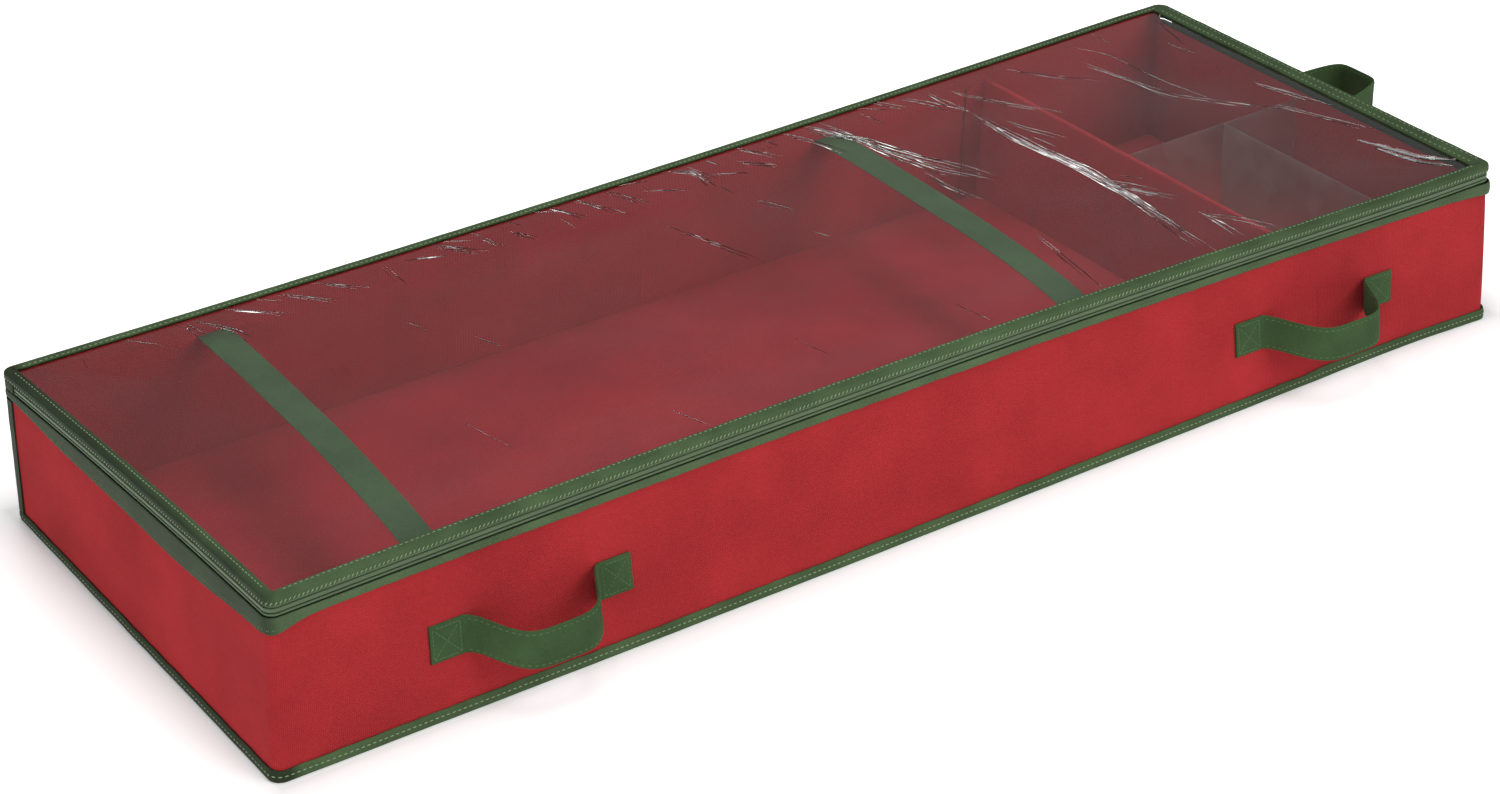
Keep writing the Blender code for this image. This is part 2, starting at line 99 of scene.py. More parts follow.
# How the soft box settles: its top is drawn in by straps and film, its foot spreads
FRONT_DRAWN_IN = 13.5 * MM
FRONT_DRAWN_MIDDLE = -50 * MM
FRONT_DRAWN_LEFT, FRONT_DRAWN_RIGHT = 700 * MM, 500 * MM
BACK_DRAWN_IN = 12 * MM
BACK_DRAWN_MIDDLE = -150 * MM
BACK_DRAWN_LEFT, BACK_DRAWN_RIGHT = 700 * MM, 620 * MM
LEFT_DRAWN_IN = 4.2 * MM
LEFT_DRAWN_TURN = 5 * MM
LEFT_DRAWN_BOW = 2.2 * MM
LEFT_FOOT_SPREAD = 6 * MM
LEFT_FADE_POWER = 4
RIGHT_FOOT_IN = 4 * MM
RIGHT_FADE_POWER = 12
FOOT_SPREAD = 8 * MM
FOOT_BOW = 3 * MM
FOOT_CORNER = 5 * MM
FOOT_CORNER_REACH = 60 * MM
BACK_FOOT_SHARE = 0.5


# Vertices nearer to each other than these are joined, in grids and in copied nodes
GRID_WELD = 2e-6
COPY_WELD = 1e-6


# Modelling helpers

def deselect():
    if bpy.context.object and bpy.context.object.mode != "OBJECT":
        bpy.ops.object.mode_set(mode="OBJECT")
    bpy.ops.object.select_all(action="DESELECT")


def name_piece(name):
    piece = bpy.context.object
    piece.name = name
    piece.data.name = name
    return piece


def bump_share(x, middle, left, right):
    """A smooth hump of height 1 that falls to 0 at its reach on each side."""
    reach = np.where(x < middle, left, right)
    return np.cos(QUARTER * np.clip((x - middle) / reach, -1, 1))


def settled(points):
    """Where points of the straight packed box lie once its soft walls have settled."""
    x, y, z = points[:, 0], points[:, 1], points[:, 2]
    up = np.clip(z / HEIGHT, 0, 1)
    along = np.clip(x / HALF_LENGTH, -1, 1)
    across = np.clip(y / HALF_WIDTH, -1, 1)
    foot = FOOT_SPREAD + FOOT_BOW * (1 - along ** 2)
    foot += FOOT_CORNER * np.exp(-((HALF_LENGTH - x) / FOOT_CORNER_REACH) ** 2)
    front = FRONT_DRAWN_IN * bump_share(x, FRONT_DRAWN_MIDDLE, FRONT_DRAWN_LEFT,
                                        FRONT_DRAWN_RIGHT)
    back = BACK_DRAWN_IN * bump_share(x, BACK_DRAWN_MIDDLE, BACK_DRAWN_LEFT,
                                      BACK_DRAWN_RIGHT)
    front = front * up - foot * (1 - up)
    back = back * up - BACK_FOOT_SHARE * foot * (1 - up)
    left = LEFT_DRAWN_IN - LEFT_DRAWN_TURN * across - LEFT_DRAWN_BOW * across ** 2
    left = left * up - LEFT_FOOT_SPREAD * (1 - up) * (1 - across) / 2
    left = left * ((1 - along) / 2) ** LEFT_FADE_POWER
    right = RIGHT_FOOT_IN * (1 - up) * (1 - across) / 2
    right = right * ((1 + along) / 2) ** RIGHT_FADE_POWER
    amount = bpy.context.scene.organizer_sizes.settling
    moved = points.copy()
    moved[:, 0] = x + amount * (left - right)
    moved[:, 1] = y + amount * (front * (1 - across) / 2 - back * (1 + across) / 2)
    return moved


def settled_point(point):
    return Vector(settled(np.array([list(point)]))[0])


def read_places(mesh):
    places = np.zeros(len(mesh.vertices) * 3)
    mesh.vertices.foreach_get("co", places)
    return places.reshape(-1, 3)


def write_places(mesh, places):
    mesh.vertices.foreach_set("co", places.reshape(-1).astype(np.float32))
    mesh.update()


def settle(piece):
    write_places(piece.data, settled(read_places(piece.data)))


def levels(low, high, rows):
    return [low + (high - low) * row / rows for row in range(rows + 1)]


def reached_along(points):
    """The distance from a line's first point to each of its points."""
    steps = np.linalg.norm(np.diff(points, axis=0), axis=1)
    return np.concatenate([[0], np.cumsum(steps)])


def points_at(distances, reached, points):
    """The points at some distances along a line, from what each of its points has reached."""
    return np.stack([np.interp(distances, reached, part) for part in points.T], 1)


def fading(distance, reach):
    """1 at no distance, and almost nothing past twice the reach."""
    share = distance / reach
    return math.exp(-share * share)


def activate(piece):
    deselect()
    piece.select_set(True)
    bpy.context.view_layer.objects.active = piece


def edit(piece):
    activate(piece)
    bpy.ops.object.mode_set(mode="EDIT")
    bpy.ops.mesh.select_all(action="SELECT")


def leave_edit():
    bpy.ops.object.mode_set(mode="OBJECT")


def smooth(piece, degrees):
    activate(piece)
    bpy.ops.object.shade_smooth_by_angle(angle=math.radians(degrees))


def apply_modifier(piece, kind, **values):
    activate(piece)
    bpy.ops.object.modifier_add(type=kind)
    modifier = piece.modifiers[-1]
    for key, value in values.items():
        setattr(modifier, key, value)
    bpy.ops.object.modifier_apply(modifier=modifier.name)
    return piece


def dress(piece, body, finish):
    """Settles a piece and gives it a material and, if one is given, a body."""
    settle(piece)
    piece.data.materials.clear()
    piece.data.materials.append(bpy.data.materials[finish])
    if body:
        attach(piece, body)
    return piece


def finish_piece(piece, body, slot, finish, *nodes, degrees=40):
    """Smooths and dresses a piece and hides the nodes that it stands for; its slot is not used."""
    smooth(piece, degrees)
    dress(piece, body, finish)
    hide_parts(*nodes)
    return piece


def lay_grid(name, points, closed=False):
    """A grid primitive whose rows of vertices are laid on rows of points.

    Each row is one closed profile. Its map gives real distances along and across.
    """
    rows, columns = points.shape[:2]
    deselect()
    bpy.ops.mesh.primitive_grid_add(x_subdivisions=columns, y_subdivisions=rows - 1, size=1)
    piece = name_piece(name)
    wrapped = np.concatenate([points, points[:, :1]], axis=1)
    write_places(piece.data, wrapped)
    steps = np.linalg.norm(np.diff(wrapped, axis=0), axis=2).max(axis=1)
    along = np.concatenate([[0], np.cumsum(steps)])
    around = reached_along(wrapped[rows // 2])
    corners = np.zeros(len(piece.data.loops), np.int64)
    piece.data.loops.foreach_get("vertex_index", corners)
    row, column = corners // (columns + 1), corners % (columns + 1)
    place = np.stack([along[row], around[column]], axis=1).astype(np.float32)
    piece.data.uv_layers[0].data.foreach_set("uv", place.reshape(-1))
    edit(piece)
    bpy.ops.mesh.remove_doubles(threshold=GRID_WELD)
    if not closed:
        bpy.ops.mesh.select_all(action="DESELECT")
        bpy.ops.mesh.select_non_manifold(extend=False)
        bpy.ops.mesh.fill_holes(sides=0)
    bpy.ops.mesh.select_all(action="SELECT")
    bpy.ops.mesh.normals_make_consistent(inside=False)
    leave_edit()
    return piece


def route(side, start, corners, end, step, first_turn=0.0, last_turn=0.0):
    """Stations round the box, anticlockwise from above: side, distance along it, turn.

    A first or last turn starts or ends the route part of the way round a back corner.
    """
    stations = []
    if first_turn:
        parts = range(round(first_turn * CORNER_STEPS), CORNER_STEPS + 1)
        straight = SIDES[side][2] - CORNER_RADIUS
        stations = [(side, straight, part / CORNER_STEPS) for part in parts]
    for count in range(1 if first_turn else 0, corners + 1):
        here = (side + count) % 4
        straight = SIDES[here][2] - CORNER_RADIUS
        first = start if count == 0 else -straight
        last = straight if last_turn or count < corners else end
        parts = max(1, round(abs(last - first) / step))
        for part in range(0 if count == 0 else 1, parts + 1):
            stations.append((here, first + (last - first) * part / parts, 0.0))
        turned = 1.0 if count < corners else last_turn
        for part in range(1, round(turned * CORNER_STEPS) + 1):
            stations.append((here, straight, part / CORNER_STEPS))
    return stations


def all_round(step):
    return route(BACK, 0.0, 4, 0.0, step)


def zipped_sides(step):
    """From the middle of the back left corner round the front to the back right one's."""
    return route(BACK, 0.0, 3, 0.0, step, HALF_ROUND, HALF_ROUND)


def back_side(step):
    return route(RIGHT, 0.0, 1, 0.0, step, HALF_ROUND, HALF_ROUND)


def on_side(value, side):
    return value[side] if isinstance(value, tuple) else value


def place_on(station, inset, z):
    """A point at a station, an inset from the outline, and a height."""
    side, along, turn = station
    after = (side + 1) % 4
    here, following = on_side(inset, side), on_side(inset, after)
    before = on_side(inset, side - 1)
    low, high = on_side(z, side), on_side(z, after)
    along_way, out_way, run, reach = SIDES[side]
    if turn == 0.0:
        held = max(min(along, run - following), before - run)
        point = along_way * held + out_way * (reach - here)
        return point + Vector((0, 0, low))
    angle = turn * QUARTER
    ahead, out = CORNER_RADIUS - following, CORNER_RADIUS - here
    ahead *= math.sin(angle) if ahead > 0 else 1
    out *= math.cos(angle) if out > 0 else 1
    point = along_way * (run - CORNER_RADIUS + ahead) + out_way * (reach - CORNER_RADIUS + out)
    return point + Vector((0, 0, low + (high - low) * turn))


def outwards(station):
    side, _, turn = station
    along_way, out_way, _, _ = SIDES[side]
    angle = turn * QUARTER
    return out_way * math.cos(angle) + along_way * math.sin(angle)


def sweep(name, stations, profile, shape=None, closed=False):
    """A strip round the box: a closed profile of insets and heights at every station.

    shape gives each vertex's move outwards and up from its place and its profile corner.
    """
    points = np.zeros((len(stations), len(profile), 3))
    for row, station in enumerate(stations):
        out = outwards(station)
        for column, (inset, z) in enumerate(profile):
            point = place_on(station, inset, z)
            if shape:
                push, lift = shape(point, column, station)
                point = point + out * push + Vector((0, 0, lift))
            points[row, column] = point
    return lay_grid(name, points, closed=closed)


def folded_profile(low, high, bulge, rows=6):
    """The closed outline of a folded tape seen end on: two round edges and a soft face."""
    radius = BINDING / 2
    heights = levels(low + radius, high - radius, rows)
    profile = [(-bulge * math.sin(math.pi * row / rows), z) for row, z in enumerate(heights)]
    for turn in (0.25, 0.5, 0.75):
        angle = math.pi * turn
        profile.append((radius - radius * math.cos(angle),
                        high - radius + radius * math.sin(angle)))
    profile += [(BINDING, z) for z in reversed(heights)]
    for turn in (0.25, 0.5, 0.75):
        angle = math.pi * turn
        profile.append((radius + radius * math.cos(angle),
                        low + radius - radius * math.sin(angle)))
    return profile


def ripple(x, y, z, size, seed=0.0):
    """Smooth unevenness between about -1 and 1, the same at each run."""
    return noise.noise(Vector((x / size + seed, y / size, z / size)))


# Materials

def math_step(tree, operation, first, second=None, third=None):
    node = tree.nodes.new("ShaderNodeMath")
    node.operation = operation
    for socket, value in zip(node.inputs, (first, second, third)):
        if value is None:
            continue
        if isinstance(value, bpy.types.NodeSocket):
            tree.links.new(value, socket)
        else:
            socket.default_value = value
    return node.outputs[0]


def new_group(name, inputs, outputs):
    group = bpy.data.node_groups.new(name, "ShaderNodeTree")
    for label, kind, value in inputs:
        socket = group.interface.new_socket(name=label, in_out="INPUT", socket_type=kind)
        if value is not None:
            socket.default_value = value
    for label in outputs:
        group.interface.new_socket(name=label, in_out="OUTPUT", socket_type="NodeSocketFloat")
    source = group.nodes.new("NodeGroupInput")
    sink = group.nodes.new("NodeGroupOutput")
    return group, source, sink


def vector_step(tree, operation, source, second=(0, 0, 0)):
    node = tree.nodes.new("ShaderNodeVectorMath")
    node.operation = operation
    tree.links.new(source, node.inputs[0])
    node.inputs[1].default_value = second
    return node


def map_range(tree, value, first, last, low=0.0, high=1.0):
    """Turns a value between first and last into one between low and high."""
    node = tree.nodes.new("ShaderNodeMapRange")
    for label, number in (("From Min", first), ("From Max", last), ("To Min", low),
                          ("To Max", high)):
        node.inputs[label].default_value = number
    tree.links.new(value, node.inputs["Value"])
    return node.outputs[0]


def add_relief(tree, shader, height, distance, strength=1.0):
    bump = tree.nodes.new("ShaderNodeBump")
    bump.inputs["Strength"].default_value = strength
    bump.inputs["Distance"].default_value = distance
    tree.links.new(height, bump.inputs["Height"])
    tree.links.new(bump.outputs["Normal"], shader.inputs["Normal"])


def make_weave_group():
    """Crossing threads: a height from 0 to 1, from a map in metres and two pitches."""
    group, source, sink = new_group("woven threads", (
        ("Map", "NodeSocketVector", None), ("Pitch", "NodeSocketFloat", 0.0015),
        ("Cross Pitch", "NodeSocketFloat", 0.0015), ("Slant", "NodeSocketFloat", 0.0),
    ), ("Height", "Fibres"))
    turned = group.nodes.new("ShaderNodeVectorRotate")
    turned.rotation_type = "Z_AXIS"
    group.links.new(source.outputs["Map"], turned.inputs["Vector"])
    group.links.new(source.outputs["Slant"], turned.inputs["Angle"])
    parts = group.nodes.new("ShaderNodeSeparateXYZ")
    group.links.new(turned.outputs["Vector"], parts.inputs[0])
    waves = []
    for part, pitch in ((0, "Pitch"), (1, "Cross Pitch")):
        cycles = math_step(group, "DIVIDE", parts.outputs[part], source.outputs[pitch])
        waves.append(math_step(group, "SINE", math_step(group, "MULTIPLY", cycles, math.tau)))
    crossed = math_step(group, "MULTIPLY", waves[0], waves[1])
    height = math_step(group, "MULTIPLY_ADD", crossed, 0.5, 0.5)
    group.links.new(height, sink.inputs["Height"])
    fibres = group.nodes.new("ShaderNodeTexNoise")
    fibres.inputs["Detail"].default_value = 2.0
    rate = math_step(group, "DIVIDE", 0.7, source.outputs["Pitch"])
    group.links.new(rate, fibres.inputs["Scale"])
    group.links.new(source.outputs["Map"], fibres.inputs["Vector"])
    group.links.new(fibres.outputs[0], sink.inputs["Fibres"])
    return group


def make_mottle_group():
    """Slow changes over the surface, such as dye, dust and handling."""
    group, source, sink = new_group("slow mottling", (
        ("Map", "NodeSocketVector", None), ("Size", "NodeSocketFloat", 0.08),
    ), ("Value",))
    cloud = group.nodes.new("ShaderNodeTexNoise")
    cloud.inputs["Detail"].default_value = 3.0
    cloud.inputs["Roughness"].default_value = 0.55
    rate = math_step(group, "DIVIDE", 1.0, source.outputs["Size"])
    group.links.new(rate, cloud.inputs["Scale"])
    group.links.new(source.outputs["Map"], cloud.inputs["Vector"])
    spread = map_range(group, cloud.outputs[0], 0.3, 0.7)
    group.links.new(spread, sink.inputs["Value"])
    return group


def add_group(tree, group, source, **values):
    node = tree.nodes.new("ShaderNodeGroup")
    node.node_tree = group
    tree.links.new(source, node.inputs["Map"])
    for label, value in values.items():
        node.inputs[label.replace("_", " ")].default_value = value
    return node


def mix_colours(tree, factor, first, second):
    node = tree.nodes.new("ShaderNodeMix")
    node.data_type = "RGBA"
    for socket, value in ((node.inputs[0], factor), (node.inputs[6], first),
                          (node.inputs[7], second)):
        if isinstance(value, bpy.types.NodeSocket):
            tree.links.new(value, socket)
        elif socket.type == "RGBA":
            socket.default_value = (*value, 1.0)
        else:
            socket.default_value = value
    return node.outputs[2]


def start_material(name, roughness, mapped=True):
    material = bpy.data.materials.new(name)
    material.use_nodes = True
    tree = material.node_tree
    shader = tree.nodes["Principled BSDF"]
    shader.inputs["Roughness"].default_value = roughness
    coordinates = tree.nodes.new("ShaderNodeTexCoord")
    return material, tree, shader, coordinates.outputs["UV" if mapped else "Object"]


def shaded(colour, share):
    return tuple(part * share for part in colour)


# Where the green tapes start to darken and where they are darkest, at both ends of the box. At the left
# end, which faces away from the lamps, this darkening is painted shade; towards the right end the tapes
# are only made darker.
LEFT_PAINTED_SHADE = (14 * MM - HALF_LENGTH, 6 * MM - HALF_LENGTH)
RIGHT_DARK = (100 * MM, 450 * MM)


def cloth_material(name, colour, pitch, cross, slant=0.0, relief=0.12 * MM, dark=0.72,
                   pale=1.12, roughness=0.85, sheen=0.02, gloss_level=0.12, mottle=0.09,
                   left_end=1.0, right_end=1.0):
    """Woven, ribbed or embossed cloth: threads in colour, gloss and relief, and mottling.

    left_end and right_end are how much of its colour the cloth keeps at the box's ends: at the left
    end, which faces away from the lamps, this is painted shade; towards the right end the cloth is only
    made darker.
    """
    material, tree, shader, source = start_material(name, roughness)
    threads = add_group(tree, bpy.data.node_groups["woven threads"], source,
                        Pitch=pitch, Cross_Pitch=cross, Slant=slant)
    clouds = add_group(tree, bpy.data.node_groups["slow mottling"], source, Size=mottle)
    fibre = mix_colours(tree, threads.outputs["Height"], shaded(colour, dark), colour)
    fleck = math_step(tree, "MULTIPLY", threads.outputs["Fibres"], 0.35)
    fleck = math_step(tree, "MULTIPLY_ADD", clouds.outputs["Value"], 0.45, fleck)
    tint = mix_colours(tree, fleck, fibre, shaded(colour, pale))
    # painted shade on the box's left end, which faces away from the lamps
    if left_end < 1:
        tint = darken_end(tree, tint, *LEFT_PAINTED_SHADE, left_end)
    if right_end < 1:
        tint = darken_end(tree, tint, *RIGHT_DARK, right_end)
    tree.links.new(tint, shader.inputs["Base Color"])
    gloss = math_step(tree, "MULTIPLY_ADD", threads.outputs["Height"], -0.12, roughness + 0.06)
    tree.links.new(gloss, shader.inputs["Roughness"])
    height = math_step(tree, "MULTIPLY_ADD", threads.outputs["Fibres"], 0.4,
                       threads.outputs["Height"])
    add_relief(tree, shader, height, relief, 0.8)
    shader.inputs["Sheen Weight"].default_value = sheen
    shader.inputs["Sheen Roughness"].default_value = 0.5
    shader.inputs["Specular IOR Level"].default_value = gloss_level
    return material


def darken_end(tree, tint, first, last, share):
    """Multiplies a colour by 1 up to a first place along the box, and a share at the last; at the box's
    left end this paints shade.
    """
    coordinates = tree.nodes.new("ShaderNodeTexCoord")
    place = tree.nodes.new("ShaderNodeSeparateXYZ")
    tree.links.new(coordinates.outputs["Object"], place.inputs[0])
    scale = vector_step(tree, "SCALE", tint)
    keep = map_range(tree, place.outputs["X"], first, last, 1.0, share)
    tree.links.new(keep, scale.inputs["Scale"])
    return scale.outputs[0]


def clear_material(name, colour, roughness, ior, mottle, relief):
    """Clear plastic that lets lamps and soft light through to what is behind it."""
    material, tree, shader, source = start_material(name, roughness)
    shader.inputs["Base Color"].default_value = (*colour, 1.0)
    shader.inputs["Transmission Weight"].default_value = 1.0
    shader.inputs["IOR"].default_value = ior
    clouds = add_group(tree, bpy.data.node_groups["slow mottling"], source, Size=mottle)
    gloss = math_step(tree, "MULTIPLY_ADD", clouds.outputs["Value"], roughness * 0.6,
                      roughness * 0.7)
    tree.links.new(gloss, shader.inputs["Roughness"])
    if relief:
        add_relief(tree, shader, clouds.outputs["Value"], relief, 0.35)
    paths = tree.nodes.new("ShaderNodeLightPath")
    soft = math_step(tree, "MAXIMUM", paths.outputs["Is Shadow Ray"],
                     paths.outputs["Is Diffuse Ray"])
    through = tree.nodes.new("ShaderNodeBsdfTransparent")
    through.inputs["Color"].default_value = (*colour, 1.0)
    mix = tree.nodes.new("ShaderNodeMixShader")
    tree.links.new(soft, mix.inputs[0])
    tree.links.new(shader.outputs[0], mix.inputs[1])
    tree.links.new(through.outputs[0], mix.inputs[2])
    tree.links.new(mix.outputs[0], tree.nodes["Material Output"].inputs["Surface"])
    return material


def board_material(name, colour):
    """Grey chipboard with short fibres pressed flat."""
    material, tree, shader, source = start_material(name, 0.9, mapped=False)
    clouds = add_group(tree, bpy.data.node_groups["slow mottling"], source, Size=0.05)
    specks = tree.nodes.new("ShaderNodeTexNoise")
    specks.inputs["Scale"].default_value = 900.0
    tree.links.new(source, specks.inputs["Vector"])
    blend = math_step(tree, "MULTIPLY_ADD", clouds.outputs["Value"], 0.3,
                      math_step(tree, "MULTIPLY", specks.outputs[0], 0.6))
    tint = mix_colours(tree, blend, shaded(colour, 0.75), shaded(colour, 1.25))
    tree.links.new(tint, shader.inputs["Base Color"])
    add_relief(tree, shader, specks.outputs[0], 0.1 * MM)
    return material


def metal_material(name, colour):
    """Painted zip metal, thinly worn in small random patches."""
    material, tree, shader, source = start_material(name, 0.35, mapped=False)
    clouds = add_group(tree, bpy.data.node_groups["slow mottling"], source, Size=0.003)
    worn = mix_colours(tree, math_step(tree, "MULTIPLY", clouds.outputs["Value"], 0.25),
                       colour, shaded(colour, 2.4))
    tree.links.new(worn, shader.inputs["Base Color"])
    gloss = math_step(tree, "MULTIPLY_ADD", clouds.outputs["Value"], 0.15, 0.28)
    tree.links.new(gloss, shader.inputs["Roughness"])
    shader.inputs["Metallic"].default_value = 0.5
    return material


def make_materials():
    colours = bpy.context.scene.organizer_colours
    make_weave_group()
    make_mottle_group()
    dot = 1.9 * MM
    for name, colour in (("red cloth", colours.cloth), ("red lining cloth", colours.lining)):
        cloth_material(name, colour, dot, dot, math.radians(45), relief=0.4 * MM, dark=0.42,
                       pale=1.4)
    rib = 1.1 * MM
    twill = dict(pitch=rib, cross=60 * rib, slant=math.radians(35), roughness=0.65,
                 mottle=0.05)
    # left_end paints shade on the tapes at the box's left end, which faces away from the lamps;
    # right_end makes them darker towards the right end
    cloth_material("dark green tape", colours.binding, relief=0.3 * MM, dark=0.32, pale=1.9,
                   gloss_level=0.2, left_end=0.33, right_end=0.76, **twill)
    cloth_material("light green tape", colours.tape, relief=0.3 * MM, dark=0.38, pale=1.8,
                   gloss_level=0.2, left_end=0.42, right_end=0.78, **twill)
    cloth_material("zip cloth", colours.zip_tape, relief=0.25 * MM, dark=0.45, pale=1.6,
                   left_end=0.6, right_end=0.7, **twill)
    cloth_material("green webbing", colours.webbing, 1.6 * MM, 1.1 * MM, math.radians(30),
                   relief=0.35 * MM, dark=0.35, pale=1.9, mottle=0.06)
    turn = 0.9 * MM
    # painted shade: a near-black green standing for the shade inside the rim and in the grooves between
    # the zip's coils
    cloth_material("painted zip shade", shaded(colours.coil, 0.3), turn, 200 * MM)
    cloth_material("zip coil", colours.coil, turn, 200 * MM, relief=0.2 * MM, dark=0.6,
                   pale=1.3, roughness=0.45, gloss_level=0.4, sheen=0.0)
    for name, colour in (("thread", colours.thread), ("red thread", colours.seam),
                         ("webbing thread", colours.webbing_thread)):
        cloth_material(name, colour, 0.4 * MM, 20 * MM, math.radians(30), relief=0.05 * MM,
                       dark=0.8, pale=1.1, roughness=0.6)
    clear_material("clear film", colours.film, 0.014, 1.45, 0.05, 0)
    clear_material("frosted sheet", colours.frosted, 0.42, 1.4, 0.02, 0.3 * MM)
    board_material("chipboard", colours.board)
    metal_material("painted metal", colours.metal)


# Pieces

# The walls' cloth is free above this height, sinks in by this at most, and is pulled in
# this far round the divider's seam
COVER_FREE_LOW = 9 * MM
COVER_SINK = 0.2 * MM
SEAM_PULL_REACH = 5 * MM


def build_outer_covers():
    """One cloth skin round the four walls and one under the floor."""
    wave = bpy.context.scene.organizer_sizes.cloth_wave
    heights = levels(COVER_FOOT, COVER_TOP, 20)
    profile = [(COVER_INSET, z) for z in heights]
    profile += [(COVER_INSET + COVER_CLOTH, z) for z in reversed(heights)]

    def shape(point, column, station):
        share = (point.z - COVER_FREE_LOW) / (RIM_LOW - COVER_FREE_LOW)
        if not 0 < share < 1:
            return 0.0, 0.0
        free = math.sin(math.pi * share) ** 0.6
        slow = ripple(point.x, point.y, point.z, 90 * MM, 3.1)
        quick = ripple(point.x, point.y, point.z * 0.6, 34 * MM, 8.7)
        push = wave * free * (0.45 + 0.5 * slow + 0.25 * quick)
        if station[0] == FRONT:
            push -= 0.6 * wave * free * fading(point.x - DIVIDER_SEAM, SEAM_PULL_REACH)
        return max(push, -COVER_SINK), 0.0

    piece = sweep("outer_cover", all_round(5 * MM), profile, shape, closed=True)
    finish_piece(piece, "box", "red_fabric", "red cloth", "front_outer_cover",
                 "right_outer_cover", "back_outer_cover", "left_outer_cover")
    flat_sheet("floor_cover", "floor_outer_cover", COVER_CLOTH, "red_fabric", "red cloth",
               0.25)


SHEET_PLAY = 0.2 * MM


def flat_sheet(name, node, thickness, slot, finish, lift_share):
    """A cloth sheet over the floor, a little uneven, where a packed sheet lies."""
    low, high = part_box(node)
    deselect()
    bpy.ops.mesh.primitive_grid_add(x_subdivisions=120, y_subdivisions=44, size=1,
                                    location=(low + high) / 2)
    piece = name_piece(name)
    piece.scale = (high.x - low.x - SHEET_PLAY, high.y - low.y - SHEET_PLAY, 1)
    bpy.ops.object.transform_apply(location=True, rotation=True, scale=True)
    rounding = CORNER_RADIUS - (HALF_WIDTH - high.y)
    middle = Vector((high.x - rounding, high.y - rounding))
    for vertex in piece.data.vertices:
        past = Vector((abs(vertex.co.x), abs(vertex.co.y))) - middle
        if min(past) > 0 and past.length > rounding:
            past = middle + past.normalized() * rounding
            vertex.co.x = math.copysign(past.x, vertex.co.x)
            vertex.co.y = math.copysign(past.y, vertex.co.y)
        uneven = ripple(vertex.co.x, vertex.co.y, 0, 70 * MM, 5.5)
        vertex.co.z = high.z - thickness * lift_share * 0.5 * (1 + uneven)
    for loop in piece.data.loops:
        place = piece.data.vertices[loop.vertex_index].co
        piece.data.uv_layers[0].data[loop.index].uv = (place.x, place.y)
    apply_modifier(piece, "SOLIDIFY", thickness=thickness * (1 - lift_share), offset=-1)
    finish_piece(piece, "box", slot, finish, node)


# The lining's height on each side, and how far it waves
LINING_TOPS = (COVER_TOP + 4 * MM, COVER_TOP + 2.5 * MM, SKIRT_LOW + 1.5 * MM,
               COVER_TOP + 4 * MM)
LINING_WAVE = 0.5 * MM


def build_linings():
    """One lining round the inside of the walls, folded over their tops, and the floor's."""
    outer, inner = LINING_INSET, LINING_INSET + LINING_CLOTH
    rows = 18

    def height(share, drop=0.0):
        return tuple(LINING_FOOT + (top - drop - LINING_FOOT) * share for top in LINING_TOPS)

    straight = [height(row / rows, 0.5 * LINING_CLOTH) for row in range(rows + 1)]
    profile = [(inner, level) for level in straight]
    profile.append(((outer + inner) / 2, height(1.0)))
    profile += [(outer, level) for level in reversed(straight)]

    def shape(point, column, station):
        if column > rows:
            return 0.0, 0.0
        uneven = ripple(point.x, point.y, point.z, 60 * MM, 12.5)
        return -LINING_WAVE * math.sin(math.pi * column / rows) * (0.5 + uneven), 0.0

    piece = sweep("wall_lining", all_round(6 * MM), profile, shape, closed=True)
    finish_piece(piece, "box", "red_lining", "red lining cloth", "front_lining",
                 "right_lining", "back_lining", "left_lining")
    flat_sheet("floor_lining_cloth", "floor_lining", LINING_CLOTH, "red_lining",
               "red lining cloth", 0.3)


def build_boards():
    """The chipboard in walls, floor and divider, and the clear partitions."""
    outer = HALF_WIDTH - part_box("back_board")[1].y
    low, high = (corner.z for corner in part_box("back_board"))
    heights = levels(low, high, 8)
    profile = [(outer, z) for z in heights] + [(outer + BOARD, z) for z in reversed(heights)]
    piece = sweep("wall_boards", all_round(12 * MM), profile, closed=True)
    finish_piece(piece, "box", "chipboard", "chipboard", "front_board", "right_board",
                 "back_board", "left_board")
    for node, slot, finish in (
            ("floor_board", "chipboard", "chipboard"),
            ("divider_board", "chipboard", "chipboard"),
            ("clear_cross_partition", "frosted_sheet", "frosted sheet"),
            ("clear_lengthwise_partition", "frosted_sheet", "frosted sheet")):
        finish_piece(block(node + "_sheet", node), "box", slot, finish, node)


def block(name, node, cuts=12):
    """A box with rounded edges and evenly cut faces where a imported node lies."""
    low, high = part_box(node)
    deselect()
    bpy.ops.mesh.primitive_cube_add(size=1, location=(low + high) / 2)
    piece = name_piece(name)
    piece.scale = high - low
    bpy.ops.object.transform_apply(location=True, rotation=True, scale=True)
    apply_modifier(piece, "BEVEL", width=0.2 * MM, segments=2)
    edit(piece)
    bpy.ops.mesh.subdivide(number_cuts=cuts)
    leave_edit()
    map_by_sides(piece)
    return piece


# The bottom tape's height, its nose at the right front corner, and its wave at the seam
BOTTOM_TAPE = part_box("front_bottom_binding")[1].z
BOTTOM_NOSE, BOTTOM_NOSE_REACH = 0.6 * MM, 11 * MM
SEAM_HUMP, SEAM_HUMP_PAST, SEAM_HUMP_REACH = 1.1 * MM, 7 * MM, 13 * MM
SEAM_DIP, SEAM_DIP_BEFORE, SEAM_DIP_REACH = 0.5 * MM, 18 * MM, 9 * MM


def bottom_push(point):
    """How far the bottom tape stands out past its straight place."""
    push = 0.25 * MM * ripple(point.x, point.y, 0, 25 * MM, 2.2)
    nose = point - Vector((HALF_LENGTH, -HALF_WIDTH, BOTTOM_TAPE / 2))
    push += BOTTOM_NOSE * fading(nose.length, BOTTOM_NOSE_REACH)
    return max(push, -0.15 * MM)


